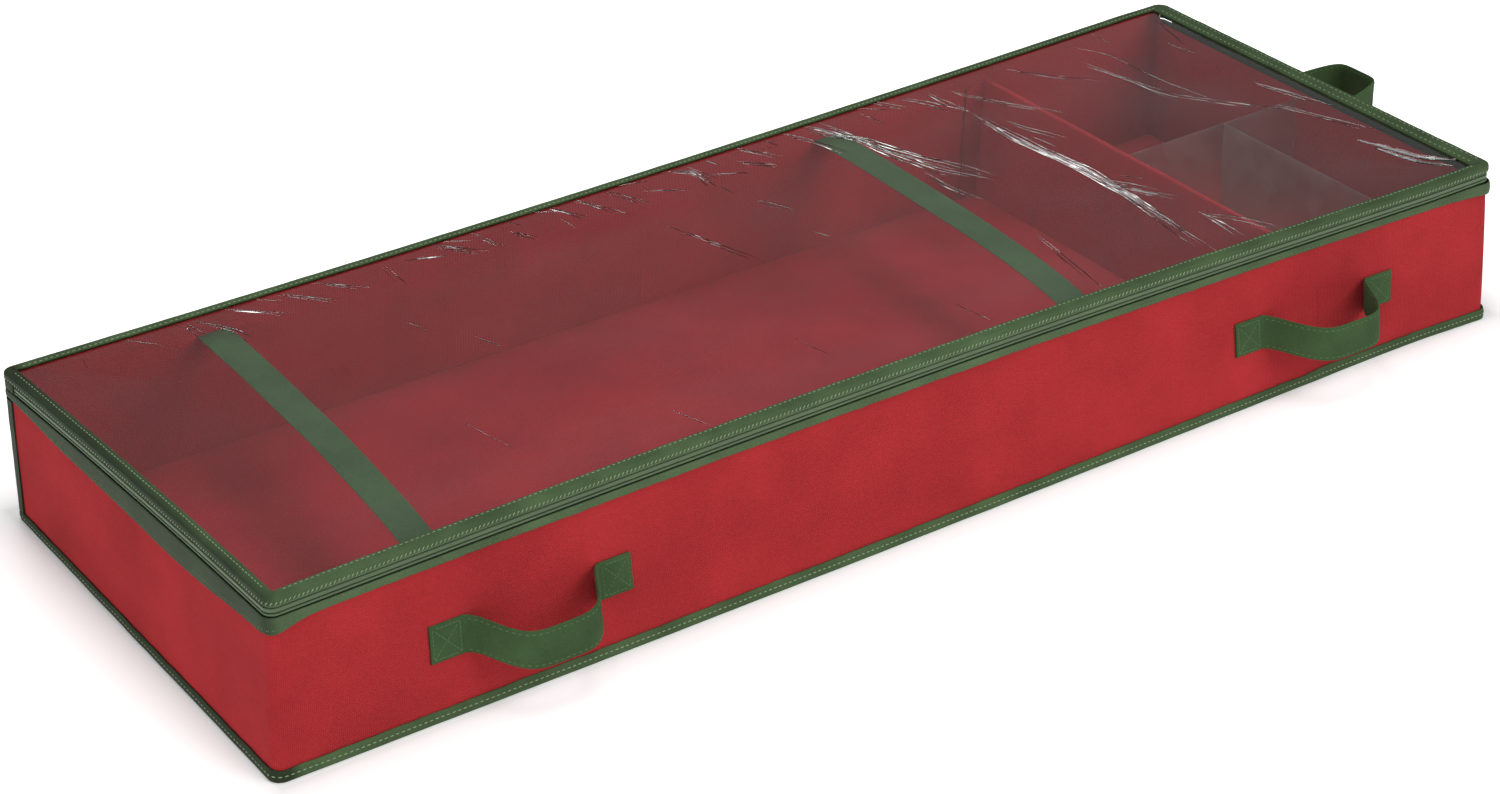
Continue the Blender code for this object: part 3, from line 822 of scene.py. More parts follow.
def build_bottom_binding():
    """The folded tape round the bottom edge, with its wave under the divider's seam."""
    def shape(point, column, station):
        lift = 0.0
        if point.z > BOTTOM_TAPE / 2:
            lift = 0.5 * MM * ripple(point.x, point.y, 0, 9 * MM, 6.6)
        if station[0] == FRONT and point.z > 0.2 * BOTTOM_TAPE:
            past = point.x - DIVIDER_SEAM
            lift += SEAM_HUMP * fading(past - SEAM_HUMP_PAST, SEAM_HUMP_REACH)
            lift -= SEAM_DIP * fading(past + SEAM_DIP_BEFORE, SEAM_DIP_REACH)
        return bottom_push(point), lift

    profile = folded_profile(0.0, BOTTOM_TAPE, 0.35 * MM)
    piece = sweep("bottom_binding", all_round(4 * MM), profile, shape, closed=True)
    finish_piece(piece, "box", "green_binding", "dark green tape", "front_bottom_binding",
                 "right_bottom_binding", "back_bottom_binding", "left_bottom_binding")


# The rim tape: its top, and how far its lower edge lies over its straight place except at
# the front corners, where it hangs by a depth within a reach
RIM_TAPE_TOP = RIM_HIGH - 0.7 * MM
RIM_TAPE_MIDDLE = (RIM_LOW + RIM_TAPE_TOP) / 2
RIM_RISE = 2.0 * MM
RIM_CORNERS = ((-HALF_LENGTH, 6.2 * MM, 22 * MM), (HALF_LENGTH, 3.5 * MM, 38 * MM))
RIM_NOSE, RIM_NOSE_REACH = 1.6 * MM, 12 * MM

# The rim tape's lower edge on the left end: places from front to back, and heights
LEFT_RIM_SPREAD = 15 * MM
LEFT_RIM_PLACES = np.array((-187.5, -150, -100, -50, 0, 50, 100, 150, 187.5)) * MM
LEFT_RIM_HEIGHTS = np.array((97.5, 96, 92, 91, 93, 94.5, 95.5, 101, 103.5)) * MM


def rim_drop(point):
    """How far the rim tape's lower edge hangs below its straight place."""
    uneven = 0.4 * MM * ripple(point.x, point.y, 0, 60 * MM, 1.4)
    if point.x < CORNER_RADIUS - HALF_LENGTH and point.y > CORNER_RADIUS - HALF_WIDTH:
        places = [point.y - LEFT_RIM_SPREAD, point.y, point.y + LEFT_RIM_SPREAD]
        return RIM_LOW - np.interp(places, LEFT_RIM_PLACES, LEFT_RIM_HEIGHTS).mean() + uneven
    drop = uneven - RIM_RISE
    for corner, depth, reach in RIM_CORNERS:
        drop += depth * fading((point - Vector((corner, -HALF_WIDTH, RIM_LOW))).length, reach)
    return drop


CORNER_TAPE_LEG = 5 * MM


def build_rim_bindings():
    """The lighter tape under the zip on three sides, and the tapes on the back corners."""
    def shape(point, column, station):
        share = (RIM_TAPE_TOP - point.z) / (RIM_TAPE_TOP - RIM_LOW)
        lift = -rim_drop(point) * share
        if point.z < RIM_TAPE_MIDDLE:
            lift += 0.4 * MM * ripple(point.x, point.y, 0, 7 * MM, 4.4)
        push = 0.15 * MM * ripple(point.x, point.y, 0, 30 * MM, 9.1)
        nose = point - Vector((HALF_LENGTH, -HALF_WIDTH, RIM_TAPE_MIDDLE))
        push += RIM_NOSE * fading(nose.length, RIM_NOSE_REACH)
        return max(push, -0.1 * MM), lift

    profile = folded_profile(RIM_LOW, RIM_TAPE_TOP, 0.3 * MM)
    piece = sweep("rim_binding", zipped_sides(4 * MM), profile, shape)
    finish_piece(piece, "box", "green_binding", "light green tape", "front_rim_binding",
                 "right_rim_binding", "left_rim_binding")
    build_corner_tape("back_right_corner_binding", RIGHT)
    build_corner_tape("back_left_corner_binding", BACK)


def build_corner_tape(node, side):
    """The upright tape on the corner where a side ends."""
    low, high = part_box(node)
    straight = SIDES[side][2] - CORNER_RADIUS
    following = SIDES[(side + 1) % 4][2] - CORNER_RADIUS
    stations = route(side, straight - CORNER_TAPE_LEG, 1, CORNER_TAPE_LEG - following,
                     1.5 * MM)
    heights = levels(low.z, high.z, 30)
    profile = [(-0.1 * MM, z) for z in heights] + [(BINDING, z) for z in reversed(heights)]

    def shape(point, column, station):
        return 0.2 * MM * ripple(point.x, point.y, point.z, 15 * MM, 7.7), 0.0

    piece = sweep(node + "_tape", stations, profile, shape)
    finish_piece(piece, "box", "green_binding", "dark green tape", node)


def strip_profile(inset, back, low, high, edge=0.35 * MM):
    """A low strip end on: a flat face with rounded shoulders, and a back."""
    return [(back, low), (inset + edge, low), (inset, low + edge), (inset, (low + high) / 2),
            (inset, high - edge), (inset + edge, high), (back, high), (back, (low + high) / 2)]


def build_zip():
    """Tapes and coil ridges of both halves on three sides, and the tabs that end them."""
    stations = route(LEFT, -ZIP_END, 2, ZIP_END, 5 * MM)
    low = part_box("lower_zip_tape")[0].z
    slit = 0.05 * MM
    flap_top = FILM_HIGH - 0.4 * MM
    parting = (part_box("lower_zip_coil")[1].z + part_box("upper_zip_coil")[0].z) / 2 - 0.6 * MM
    groove = 0.8 * MM
    back, deep, proud = 2.8 * MM, 2.2 * MM, 0.9 * MM
    lower_ridge = RIM_TAPE_TOP + groove
    upper_ridge_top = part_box("upper_zip_coil")[1].z + 0.2 * MM
    tape_low = upper_ridge_top + groove
    pieces = (
        # the lower zip tape is coloured with painted shade, for the shade inside the rim and between
        # the coils
        ("lower_zip_tape", "box", "zip_tape", "painted zip shade",
         strip_profile(deep, back, low, parting - slit, 0.1 * MM)),
        ("lower_zip_coil", "box", "zip_coil", "zip coil",
         strip_profile(proud, deep, lower_ridge, parting - groove / 2)),
        ("upper_zip_coil", "lid", "zip_coil", "zip coil",
         strip_profile(proud, deep, parting + groove / 2, upper_ridge_top)),
        ("upper_zip_tape", "lid", "zip_tape", "zip cloth",
         [(back, parting + slit), (deep, parting + slit), (deep, tape_low),
          (proud + 0.3 * MM, tape_low), (proud, tape_low + 0.3 * MM),
          (proud, tape_low + 2.4 * MM), (1.4 * MM, flap_top), (back, flap_top)]))
    for node, body, slot, finish, profile in pieces:
        piece = sweep(node + "_strip", stations, profile)
        finish_piece(piece, body, slot, finish, node)
    for node in ("zip_end_tab_left", "zip_end_tab_right"):
        piece = refined_copy(node, node + "_cloth", 0.3 * MM)
        finish_piece(piece, "box", "green_binding", "dark green tape", node)


def refined_copy(node, name, edge):
    """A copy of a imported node's shape with its faces joined and its edges rounded."""
    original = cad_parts[node]
    deselect()
    piece = original.copy()
    piece.data = original.data.copy()
    bpy.context.scene.collection.objects.link(piece)
    for key in list(piece.keys()):
        del piece[key]
    piece.parent = None
    piece.name = name
    piece.data.name = name
    piece.hide_render = False
    piece.hide_viewport = False
    edit(piece)
    bpy.ops.mesh.remove_doubles(threshold=COPY_WELD)
    bpy.ops.mesh.dissolve_limited(angle_limit=math.radians(1))
    bpy.ops.mesh.normals_make_consistent(inside=False)
    leave_edit()
    apply_modifier(piece, "BEVEL", width=edge, segments=3, limit_method="ANGLE",
                   angle_limit=math.radians(35))
    map_by_sides(piece)
    return piece


def map_by_sides(piece):
    """Gives a piece a map in metres from the two axes that each face lies along."""
    mesh = piece.data
    layer = mesh.uv_layers[0] if mesh.uv_layers else mesh.uv_layers.new(name="UVMap")
    for face in mesh.polygons:
        normal = face.normal
        axis = max(range(3), key=lambda part: abs(normal[part]))
        across = {0: (1, 2), 1: (0, 2), 2: (0, 1)}[axis]
        for corner in face.loop_indices:
            place = mesh.vertices[mesh.loops[corner].vertex_index].co
            layer.data[corner].uv = (place[across[0]], place[across[1]])


# The lid tape's width on each side, and its crown: shares of that width, and how far it
# stands up there
LID_TAPE_WIDTHS = (9 * MM, 15 * MM, 8 * MM, 9 * MM)
LID_TAPE_SWELL = ((0.3, 0.25 * MM), (0.55, 0.35 * MM), (0.8, 0.2 * MM))


def lid_edge_profile():
    """The lid's folded tape end on: up the skirt, over the fold, along the top and back."""
    fold = 0.9 * MM
    edge = 0.3 * MM
    under = HEIGHT - BINDING

    def short_of_width(less, share=1.0):
        return tuple(share * width - less for width in LID_TAPE_WIDTHS)

    profile = [(0.0, SKIRT_LOW + edge)]
    for share in (0.35, 0.7):
        profile.append((-0.15 * MM, SKIRT_LOW + (HEIGHT - fold - SKIRT_LOW) * share))
    for turn in range(4):
        angle = QUARTER * turn / 3
        profile.append((fold * (1 - math.cos(angle)), HEIGHT - fold + fold * math.sin(angle)))
    for share, swell in LID_TAPE_SWELL:
        profile.append((short_of_width((share - 1) * fold, share), HEIGHT + swell))
    profile.append((short_of_width(edge), HEIGHT - 0.05 * MM))
    profile.append((LID_TAPE_WIDTHS, HEIGHT - BINDING / 2))
    profile.append((short_of_width(0.2 * MM), under))
    profile.append((short_of_width(0.0, 0.5), under))
    profile.append((BINDING + edge, under))
    profile.append((BINDING, under - 0.4 * MM))
    profile.append((BINDING, SKIRT_LOW + edge))
    profile.append((BINDING / 2, SKIRT_LOW))
    return profile


def lid_tape_lift(point):
    """How unevenly the lid's tape lies."""
    lift = 0.3 * MM * ripple(point.x, point.y, 0, 24 * MM, 3.3)
    return lift + 0.2 * MM * ripple(point.x, point.y, point.z * 2, 7 * MM, 1.9)


def build_lid_bindings():
    """The folded tape round the lid's three zipped sides, and the fabric hinge."""
    def shape(point, column, station):
        lift = lid_tape_lift(point)
        if point.z < SKIRT_LOW + 1 * MM:
            lift += 0.3 * MM * ripple(point.x, point.y, 0, 6 * MM, 5.1)
        return 0.15 * MM * ripple(point.x, point.y, point.z, 20 * MM, 0.7), lift

    piece = sweep("lid_edge_binding", zipped_sides(5 * MM), lid_edge_profile(), shape)
    finish_piece(piece, "lid", "green_binding", "dark green tape", "lid_front_binding",
                 "lid_right_binding", "lid_left_binding", degrees=50)
    build_hinge_tape()


def build_hinge_tape():
    """The back tape, which runs up the wall, over the edge and on to the lid."""
    fold = 1.0 * MM
    width = LID_TAPE_WIDTHS[BACK]
    under = HEIGHT - 0.9 * MM
    outer = [(0.0, z) for z in levels(RIM_LOW, HEIGHT - fold, 8)]
    for turn in (1, 2, 3):
        angle = QUARTER * turn / 3
        outer.append((fold * (1 - math.cos(angle)), HEIGHT - fold + fold * math.sin(angle)))
    outer += [(3 * MM, HEIGHT + 0.15 * MM), (5.5 * MM, HEIGHT + 0.1 * MM), (width, HEIGHT)]
    inner = [(width, under), (5 * MM, under), (2.5 * MM, under), (BINDING, HEIGHT - 1.6 * MM)]
    inner += [(BINDING, z) for z in reversed(levels(RIM_LOW, HEIGHT - 2 * MM, 8))]

    def shape(point, column, station):
        push = 0.12 * MM * ripple(point.x, point.y, point.z, 18 * MM, 4.0)
        return push, 0.15 * MM * ripple(point.x, 0, 0, 16 * MM, 2.6)

    piece = sweep("back_hinge_tape", back_side(5 * MM), outer + inner, shape)
    finish_piece(piece, None, "green_binding", "dark green tape", "back_hinge_binding",
                 "lid_back_binding", degrees=50)
    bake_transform(piece)


# Creases of the clear film as they lie: points along and across the organizer in
# millimetres, width, strands side by side, and the room that these share. Their level is
# in millimetres too.
FILM_CREASES = (
    (((259, 123), (259, 60), (267, -8), (268, -63), (257, -133), (252, -172)), 2.6, 4, 7),
    (((262, 107), (266, 37), (273, -18), (264, -86), (256, -152)), 2.2, 3, 5),
    (((273, 90), (278, 67), (290, 40)), 2.0, 2, 4), (((272, 56), (276, 30)), 1.8, 1, 0),
    (((266, -28), (278, -47), (288, -68)), 2.2, 3, 6), (((270, -49), (294, -87)), 2.0, 3, 5),
    (((283, -31), (295, -46)), 1.6, 1, 0), (((289, -113), (290, -136), (286, -165)), 2.2, 2, 4),
    (((289, -126), (287, -145)), 1.4, 1, 0), (((254, 163), (255, 144), (260, 120)), 2.0, 2, 4),
    (((228, 170), (243, 150), (259, 118)), 2.0, 2, 5), (((270, 156), (318, 70)), 1.8, 2, 3),
    (((192, 175), (215, 154)), 1.6, 1, 0), (((190, 165), (196, 138)), 1.5, 1, 0),
    (((207, 179), (225, 150)), 1.6, 2, 4),
    (((137, 175), (150, 145), (168, 126), (182, 76), (193, 52), (204, 18)), 2.6, 3, 7),
    (((152, 175), (161, 140), (167, 102), (180, 48), (199, 14)), 2.4, 3, 6),
    (((169, 59), (168, 26), (174, -8)), 1.8, 2, 3),
    (((173, -71), (167, -108), (154, -166)), 1.6, 2, 3),
    (((327, 166), (350, 135), (376, 102)), 1.6, 2, 4), (((388, 140), (407, 50), (466, -36)), 1.8, 2, 4),
    (((386, 133), (396, 100), (403, 40)), 1.6, 1, 0), (((468, 126), (472, 98)), 1.6, 1, 0),
    (((490, 167), (476, 114)), 1.5, 1, 0), (((471, 30), (489, -40)), 2.2, 2, 4),
    (((458, -10), (486, -92)), 1.8, 2, 4), (((463, -93), (478, -150), (503, -176)), 6.0, 2, 8),
    (((396, 173), (416, 135), (418, 92), (428, 20)), 1.5, 1, 0),
    (((288, -115), (304, -138), (316, -168)), 1.8, 2, 5),
    (((430, 176), (430, 151)), 1.6, 1, 0), (((480, -8), (467, -40)), 1.4, 1, 0),
    (((-91, 172), (-75, 139)), 1.7, 2, 3), (((-71, 174), (-48, 126)), 1.8, 2, 3),
    (((-91, 150), (-90, 132)), 1.4, 1, 0), (((-43, 171), (-26, 131)), 1.8, 2, 4),
    (((-29, 170), (-5, 162)), 1.5, 1, 0), (((-19, 152), (12, 131)), 2.6, 1, 0),
    (((10, 169), (29, 155), (27, 124)), 2.0, 3, 4), (((28, 170), (36, 136)), 1.8, 2, 3),
    (((47, 166), (50, 155)), 1.6, 1, 0), (((38, 144), (64, 130)), 2.4, 1, 0),
    (((75, 173), (97, 138)), 2.0, 2, 4), (((65, 150), (87, 128)), 2.4, 2, 3),
    (((102, 169), (108, 155)), 1.6, 1, 0), (((92, 157), (105, 156)), 1.4, 1, 0),
    (((118, 174), (132, 146), (143, 116)), 2.2, 2, 4), (((142, 173), (164, 125)), 2.0, 2, 3),
    (((42, 91), (52, 61)), 1.5, 2, 3), (((-36, 97), (-12, 10)), 1.6, 2, 3),
    (((44, 26), (50, 10)), 1.4, 1, 0), (((32, 125), (35, 108)), 1.6, 1, 0),
    (((-386, 166), (-384, 144)), 2.4, 2, 4), (((-380, 166), (-362, 138), (-359, 120)), 1.8, 2, 4),
    (((-357, 171), (-319, 134)), 1.7, 2, 3), (((-333, 171), (-315, 156)), 1.5, 1, 0),
    (((-316, 167), (-284, 134)), 1.8, 2, 3), (((-287, 167), (-257, 137)), 1.8, 2, 3),
    (((-233, 162), (-234, 129)), 1.8, 2, 4), (((-216, 158), (-188, 148)), 3.0, 1, 0),
    (((-190, 168), (-162, 134)), 2.0, 3, 5), (((-180, 168), (-161, 157)), 1.6, 1, 0),
    (((-158, 168), (-148, 137)), 1.7, 2, 3), (((-130, 171), (-119, 156)), 1.6, 1, 0),
    (((-134, 154), (-120, 134)), 1.6, 2, 3), (((-113, 174), (-84, 160)), 1.6, 1, 0),
    (((-463, 168), (-467, 147)), 1.8, 1, 0), (((-260, 80), (-254, 62)), 1.4, 1, 0),
    (((-235, 38), (-225, 10)), 1.4, 1, 0), (((-430, 170), (-412, 146)), 1.5, 1, 0),
    (((-60, -90), (-52, -130)), 1.2, 1, 0), (((-300, -60), (-290, -110)), 1.2, 1, 0),
    (((60, -120), (64, -160)), 1.2, 1, 0), (((-180, -130), (-172, -168)), 1.3, 1, 0),
)
CREASE_LEVEL = 120
CREASE_STEP = 2.5 * MM
CREASE_POINTS = 24

# A crease end on: shares of its size outwards, up its slope, and down from the film
CREASE_SHARES = ((0.5, 0, -0.04), (-0.5, 1, 0), (-0.8, 0, -0.04), (0, 0, -0.15))

# The level way towards the camera, which every crease's outer side faces
CREASE_LEAN = np.array([-0.58, -0.81])

# The film: its edges as held by the tapes, the room over which it goes slack, its thickness
FILM_HELD_X, FILM_HELD_Y = 15 * MM, 9 * MM
FILM_SLACK_ROOM = 70 * MM
FILM_THICKNESS = 0.45 * MM


def film_height(x, y):
    """How far the slack film lies over or under its packed place, without its creases."""
    edge = np.minimum(HALF_LENGTH - FILM_HELD_X - np.abs(x),
                      HALF_WIDTH - FILM_HELD_Y - np.abs(y))
    free = np.clip(edge / FILM_SLACK_ROOM, 0, 1)
    free = free * free * (3 - 2 * free)
    near = np.clip((edge + 1 * MM) / (5 * MM), 0, 1)
    slow = np.array([ripple(a, b, 0, 120 * MM, 1.3) for a, b in zip(x, y)])
    quick = np.array([ripple(a * 0.55, b, 0, 40 * MM, 7.9) for a, b in zip(x, y)])
    sag = bpy.context.scene.organizer_sizes.film_sag
    height = -sag * free * (0.6 + 0.8 * slow) + 0.35 * MM * near * quick
    return np.where(edge < 0, np.minimum(height, 0), height)


def crease_strand(name, line, width, seed):
    """A pinched fold of the film: a low closed ridge along a line, gone at both ends."""
    reached = reached_along(line)
    rows = max(6, round(reached[-1] / CREASE_STEP))
    share = np.linspace(0, 1, rows + 1)
    spots = points_at(share * reached[-1], reached, line)
    for _ in range(6):
        spots[1:-1] = (spots[:-2] + 2 * spots[1:-1] + spots[2:]) / 4
    uneven = np.array([ripple(a, b, 0, 11 * MM, seed) for a, b in spots])
    wander = np.array([ripple(a, b, 0, 26 * MM, seed + 4.7) for a, b in spots])
    run = np.gradient(spots, axis=0)
    run /= np.linalg.norm(run, axis=1)[:, None]
    side = np.stack([run[:, 1], -run[:, 0]], 1)
    side *= np.where(side @ CREASE_LEAN < 0, -1, 1)[:, None]
    spots = spots + side * (wander * 1.2 * MM)[:, None]
    size = width * np.sin(np.pi * share) ** 0.6 * (0.75 + 0.5 * uneven)
    size[0] = size[-1] = 0
    slope = np.radians(27 + 12 * wander)
    base = FILM_HIGH + film_height(spots[:, 0], spots[:, 1])
    points = np.zeros((rows + 1, len(CREASE_SHARES), 3))
    for column, (out, up, down) in enumerate(CREASE_SHARES):
        points[:, column, :2] = spots + side * (size * out)[:, None]
        points[:, column, 2] = base + size * (np.tan(slope) * up + down)
    return lay_grid(name, points)


def build_creases():
    """Every strand of every crease, each a little beside the next."""
    size = bpy.context.scene.organizer_sizes.crease_height
    made = []
    for number, (line, width, strands, room) in enumerate(FILM_CREASES):
        line = np.array([(x, y, CREASE_LEVEL) for x, y in line]) * MM
        line = (2 * line - settled(line))[:, :2]
        run = line[-1] - line[0]
        beside = np.array([run[1], -run[0]]) / np.linalg.norm(run)
        for strand in range(strands):
            seed = number * 1.7 + strand * 5.3
            shift = 1.4 * room * MM * (strand / (strands - 1) - 0.5) if strands > 1 else 0
            early = 0.25 * (0.5 + ripple(seed, 0.3, 0.1, 1.3)) if strand else 0
            late = 1 - 0.25 * (0.5 + ripple(seed, 0.7, 0.4, 1.9)) if strand else 1
            dense = points_at(np.linspace(early, late, CREASE_POINTS),
                              np.linspace(0, 1, len(line)), line)
            fan = np.linspace(0.4, 1.0, CREASE_POINTS)[:, None]
            made.append(crease_strand("film_crease_%d_%d" % (number, strand),
                                      dense + beside * shift * fan, width * size, seed))
    return made


def build_lid_window():
    """The clear film: slack between its edges, with pinched creases."""
    low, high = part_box("lid_window")
    deselect()
    bpy.ops.mesh.primitive_grid_add(x_subdivisions=280, y_subdivisions=104, size=1,
                                    location=((low.x + high.x) / 2, (low.y + high.y) / 2, 0))
    piece = name_piece("lid_film")
    piece.scale = (high.x - low.x, high.y - low.y, 1)
    bpy.ops.object.transform_apply(location=True, rotation=True, scale=True)
    place = read_places(piece.data)
    place[:, 2] = high.z + film_height(place[:, 0], place[:, 1])
    write_places(piece.data, place)
    for loop in piece.data.loops:
        spot = piece.data.vertices[loop.vertex_index].co
        piece.data.uv_layers[0].data[loop.index].uv = (spot.x, spot.y)
    apply_modifier(piece, "SOLIDIFY", thickness=FILM_THICKNESS, offset=-1)
    creases = build_creases()
    activate(piece)
    for crease in creases:
        crease.select_set(True)
    bpy.ops.object.join()
    finish_piece(piece, "lid", "clear_film", "clear film", "lid_window", degrees=12)


SLEEVE_SWELL = 0.5 * MM
SLEEVE_TOP_WAVE = 0.7 * MM
FLANGE_CURL = 2.2 * MM


def build_divider():
    """The red divider's sleeve over its board, with a round top, and its two flanges."""
    low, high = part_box("divider_sleeve")
    middle = (low.x + high.x) / 2
    half = (high.x - low.x) / 2
    outer = sleeve_outline(half, low.z, high.z - half)
    profile = outer + sleeve_outline(half - LINING_CLOTH, low.z, high.z - half)[::-1]
    rows = 46
    points = np.zeros((rows + 1, len(profile), 3))
    for row, y in enumerate(levels(low.y, high.y, rows)):
        for column, (x, z) in enumerate(profile):
            share = (z - low.z) / (high.z - low.z)
            swell = 0.0
            if column < len(outer):
                swell = SLEEVE_SWELL * ripple(x * 40, y, z, 45 * MM, 6.1) * (1 - share)
            top = SLEEVE_TOP_WAVE * share * ripple(0, y, 0, 60 * MM, 2.8)
            points[row, column] = (middle + x + math.copysign(abs(swell), x), y, z + top)
    finish_piece(lay_grid("divider_cloth", points), "box", "red_lining", "red lining cloth",
                 "divider_sleeve")
    build_flange("divider_front_flange", 1)
    build_flange("divider_back_flange", -1)


def sleeve_outline(radius, foot, shoulder):
    """Up one side of the sleeve, over its round top and down the other side."""
    heights = [foot + (shoulder - foot) * step / 14 for step in range(14)]
    line = [(-radius, z) for z in heights]
    for step in range(9):
        angle = math.pi * (1 - step / 8)
        line.append((radius * math.cos(angle), shoulder + radius * math.sin(angle)))
    return line + [(radius, z) for z in reversed(heights)]


def build_flange(node, way):
    """A flange sewn to the wall along one edge, whose other edge curls off the wall."""
    low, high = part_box(node)
    columns, rows = 12, 30
    points = np.zeros((rows + 1, 2 * columns + 2, 3))
    fixed, face = (low.x, low.y) if way > 0 else (high.x, high.y)
    for row, z in enumerate(levels(low.z, high.z, rows)):
        for column in range(columns + 1):
            share = column / columns
            x = fixed + way * share * (high.x - low.x)
            curl = FLANGE_CURL * share ** 3 * (0.6 + 0.5 * ripple(0, 0, z, 40 * MM, 9.9))
            points[row, column] = (x, face + way * (LINING_CLOTH + curl), z)
            points[row, 2 * columns + 1 - column] = (x, face + way * curl, z)
    finish_piece(lay_grid(node + "_cloth", points), "box", "red_lining", "red lining cloth",
                 node)


# Straps: name, and where the middle of its front and back end lies along the box
STRAPS = (("left_hold_down_strap", -388.5 * MM, -360.5 * MM),
          ("right_hold_down_strap", 148 * MM, 167 * MM))
STRAP_HALF_WIDTH = 12 * MM
STRAP_THIN = 0.75 * MM
STRAP_FRONT_FALL = 10 * MM


def build_straps():
    """The two straps across the long bay: flat webbing, slanted, bowed and uneven."""
    for node, front_x, back_x in STRAPS:
        low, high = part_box(node)
        end_z, rise = low.z + STRAP_THIN, high.z - low.z - 2 * STRAP_THIN
        rows = 90
        points = []
        for row in range(rows + 1):
            share = 2 * row / rows - 1
            middle = front_x + (back_x - front_x) * row / rows
            y = share * high.y
            z = end_z + rise * (1 - share * share) - STRAP_FRONT_FALL * max(0, -share) ** 6
            z += 0.5 * MM * (1 - share ** 4) * ripple(0, y, 0, 70 * MM, front_x * 9)
            drift = 1.2 * MM * (1 - share ** 4) * ripple(0, y, 0, 110 * MM, front_x * 5 + 3)
            lean = 0.02 * ripple(0, y, 0, 90 * MM, front_x * 7 + 1)
            points.append(webbing_ring(Vector((middle + drift, y, z)), Vector((1, 0, lean)),
                                       Vector((-lean, 0, 1)), STRAP_HALF_WIDTH,
                                       STRAP_THIN))
        piece = lay_grid(node + "_webbing", np.array(points))
        finish_piece(piece, "box", "green_webbing", "green webbing", node)


def webbing_ring(centre, across, through, half, thin):
    """A webbing's outline end on: two flat faces and two full round edges."""
    ring = []
    for way in (1, -1):
        for share in (-1, -0.9, -0.6, -0.3, 0, 0.3, 0.6, 0.9, 1):
            level = thin if abs(share) < 1 else 0.55 * thin
            ring.append(centre + across * (way * half * share) + through * (way * level))
        ring.append(centre + across * (way * (half + 0.3 * thin)))
    return ring


# Webbing handles. The loop rises by some degrees away from the wall, hinge is how far its
# hinge line stands out, and half_span is half the length between the two patches.
HANDLES = {
    "front_left_handle": dict(side=FRONT, along=-328 * MM, z=53 * MM, bulge=40 * MM, rise=-8,
                              bends=(2.1, 2.4), half_span=51 * MM, hinge=10 * MM,
                              body="front_left_loop", ends=("left_end", "right_end")),
    "front_right_handle": dict(side=FRONT, along=338 * MM, z=54 * MM, bulge=44 * MM, rise=-2,
                               bends=(2.2, 2.4), half_span=51 * MM, hinge=10 * MM,
                               body="front_right_loop", ends=("left_end", "right_end")),
    "end_handle": dict(side=RIGHT, along=20 * MM, z=88.7 * MM, bulge=63 * MM, rise=6,
                       bends=(4, 2.75), half_span=35 * MM, hinge=16 * MM,
                       body="end_loop", ends=("front_end", "back_end")),
}
WEBBING_HALF_WIDTH = 12.5 * MM
WEBBING_THIN = 0.9 * MM
PATCH = 24 * MM
HANDLE_STEPS = 170


def handle_line(name):
    """Centre, across and outward directions of a handle's webbing, at even distances."""
    handle = HANDLES[name]
    along_way, out_way, _, reach = SIDES[handle["side"]]
    wall = reach - COVER_INSET
    rise = math.radians(handle["rise"])
    start = 0.3 * MM + WEBBING_THIN
    half_span, hinge = handle["half_span"], handle["hinge"]
    along = np.linspace(-half_span - PATCH, half_span + PATCH, 2401)
    bend = np.where(along < 0, *handle["bends"])
    share = np.minimum(np.abs(along) / half_span, 1)
    out = start + (handle["bulge"] - start) * (1 + np.cos(math.pi * share ** bend)) / 2
    arm = np.maximum(out - hinge, 0)
    out = np.minimum(out, hinge) + arm * math.cos(rise)
    reached = np.concatenate([[0], np.cumsum(np.hypot(np.diff(along), np.diff(out)))])
    even = np.linspace(0, reached[-1], HANDLE_STEPS + 1)
    along, out, up = (np.interp(even, reached, part)
                      for part in (along, out, arm * math.sin(rise)))
    centres = [along_way * (handle["along"] + a) + out_way * (wall + o)
               + Vector((0, 0, handle["z"] + u)) for a, o, u in zip(along, out, up)]
    lines = []
    for step, centre in enumerate(centres):
        before, after = centres[max(step - 1, 0)], centres[min(step + 1, HANDLE_STEPS)]
        tangent = (after - before).normalized()
        across = Vector((0, 0, 1)) - tangent * tangent.z
        across.normalize()
        lines.append((centre, across, across.cross(tangent), even[step]))
    return lines


def blend_handle(piece, name):
    handle = HANDLES[name]
    along_way, out_way, _, reach = SIDES[handle["side"]]
    base = along_way * handle["along"] + out_way * (reach - COVER_INSET + handle["hinge"])
    base = settled_point(base + Vector((0, 0, handle["z"])))
    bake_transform(piece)


def build_handles():
    """Each handle is one webbing: two patches sewn to the wall, and the loop between."""
    for name, handle in HANDLES.items():
        points = []
        for centre, across, through, _ in handle_line(name):
            points.append(webbing_ring(centre, across, through, WEBBING_HALF_WIDTH,
                                       WEBBING_THIN))
        piece = lay_grid(name + "_webbing", np.array(points))
        nodes = [name + "_" + end for end in handle["ends"]] + [name + "_loop"]
        finish_piece(piece, None, "green_webbing", "green webbing", *nodes)
        blend_handle(piece, name)


def build_slider():
    """The zip slider with its bail, and its pull tab."""
    for node, body in (("zip_slider", "slider"), ("zip_pull_tab", "pull")):
        piece = refined_copy(node, node + "_metal", 0.18 * MM)
        finish_piece(piece, body, "painted_metal", "painted metal", node)


# Stitching

# A stitch's height as a share of its width, the distance on each side of it over which its
# direction is taken, how far rows and patch stitches lie from an edge, and the height of
# the row on the bottom tape
STITCH_FLAT = 0.7
TANGENT_REACH = 0.3 * MM
ROW_IN = 2.2 * MM
PATCH_ROW_IN = 2 * MM
BOTTOM_ROW = 4.3 * MM


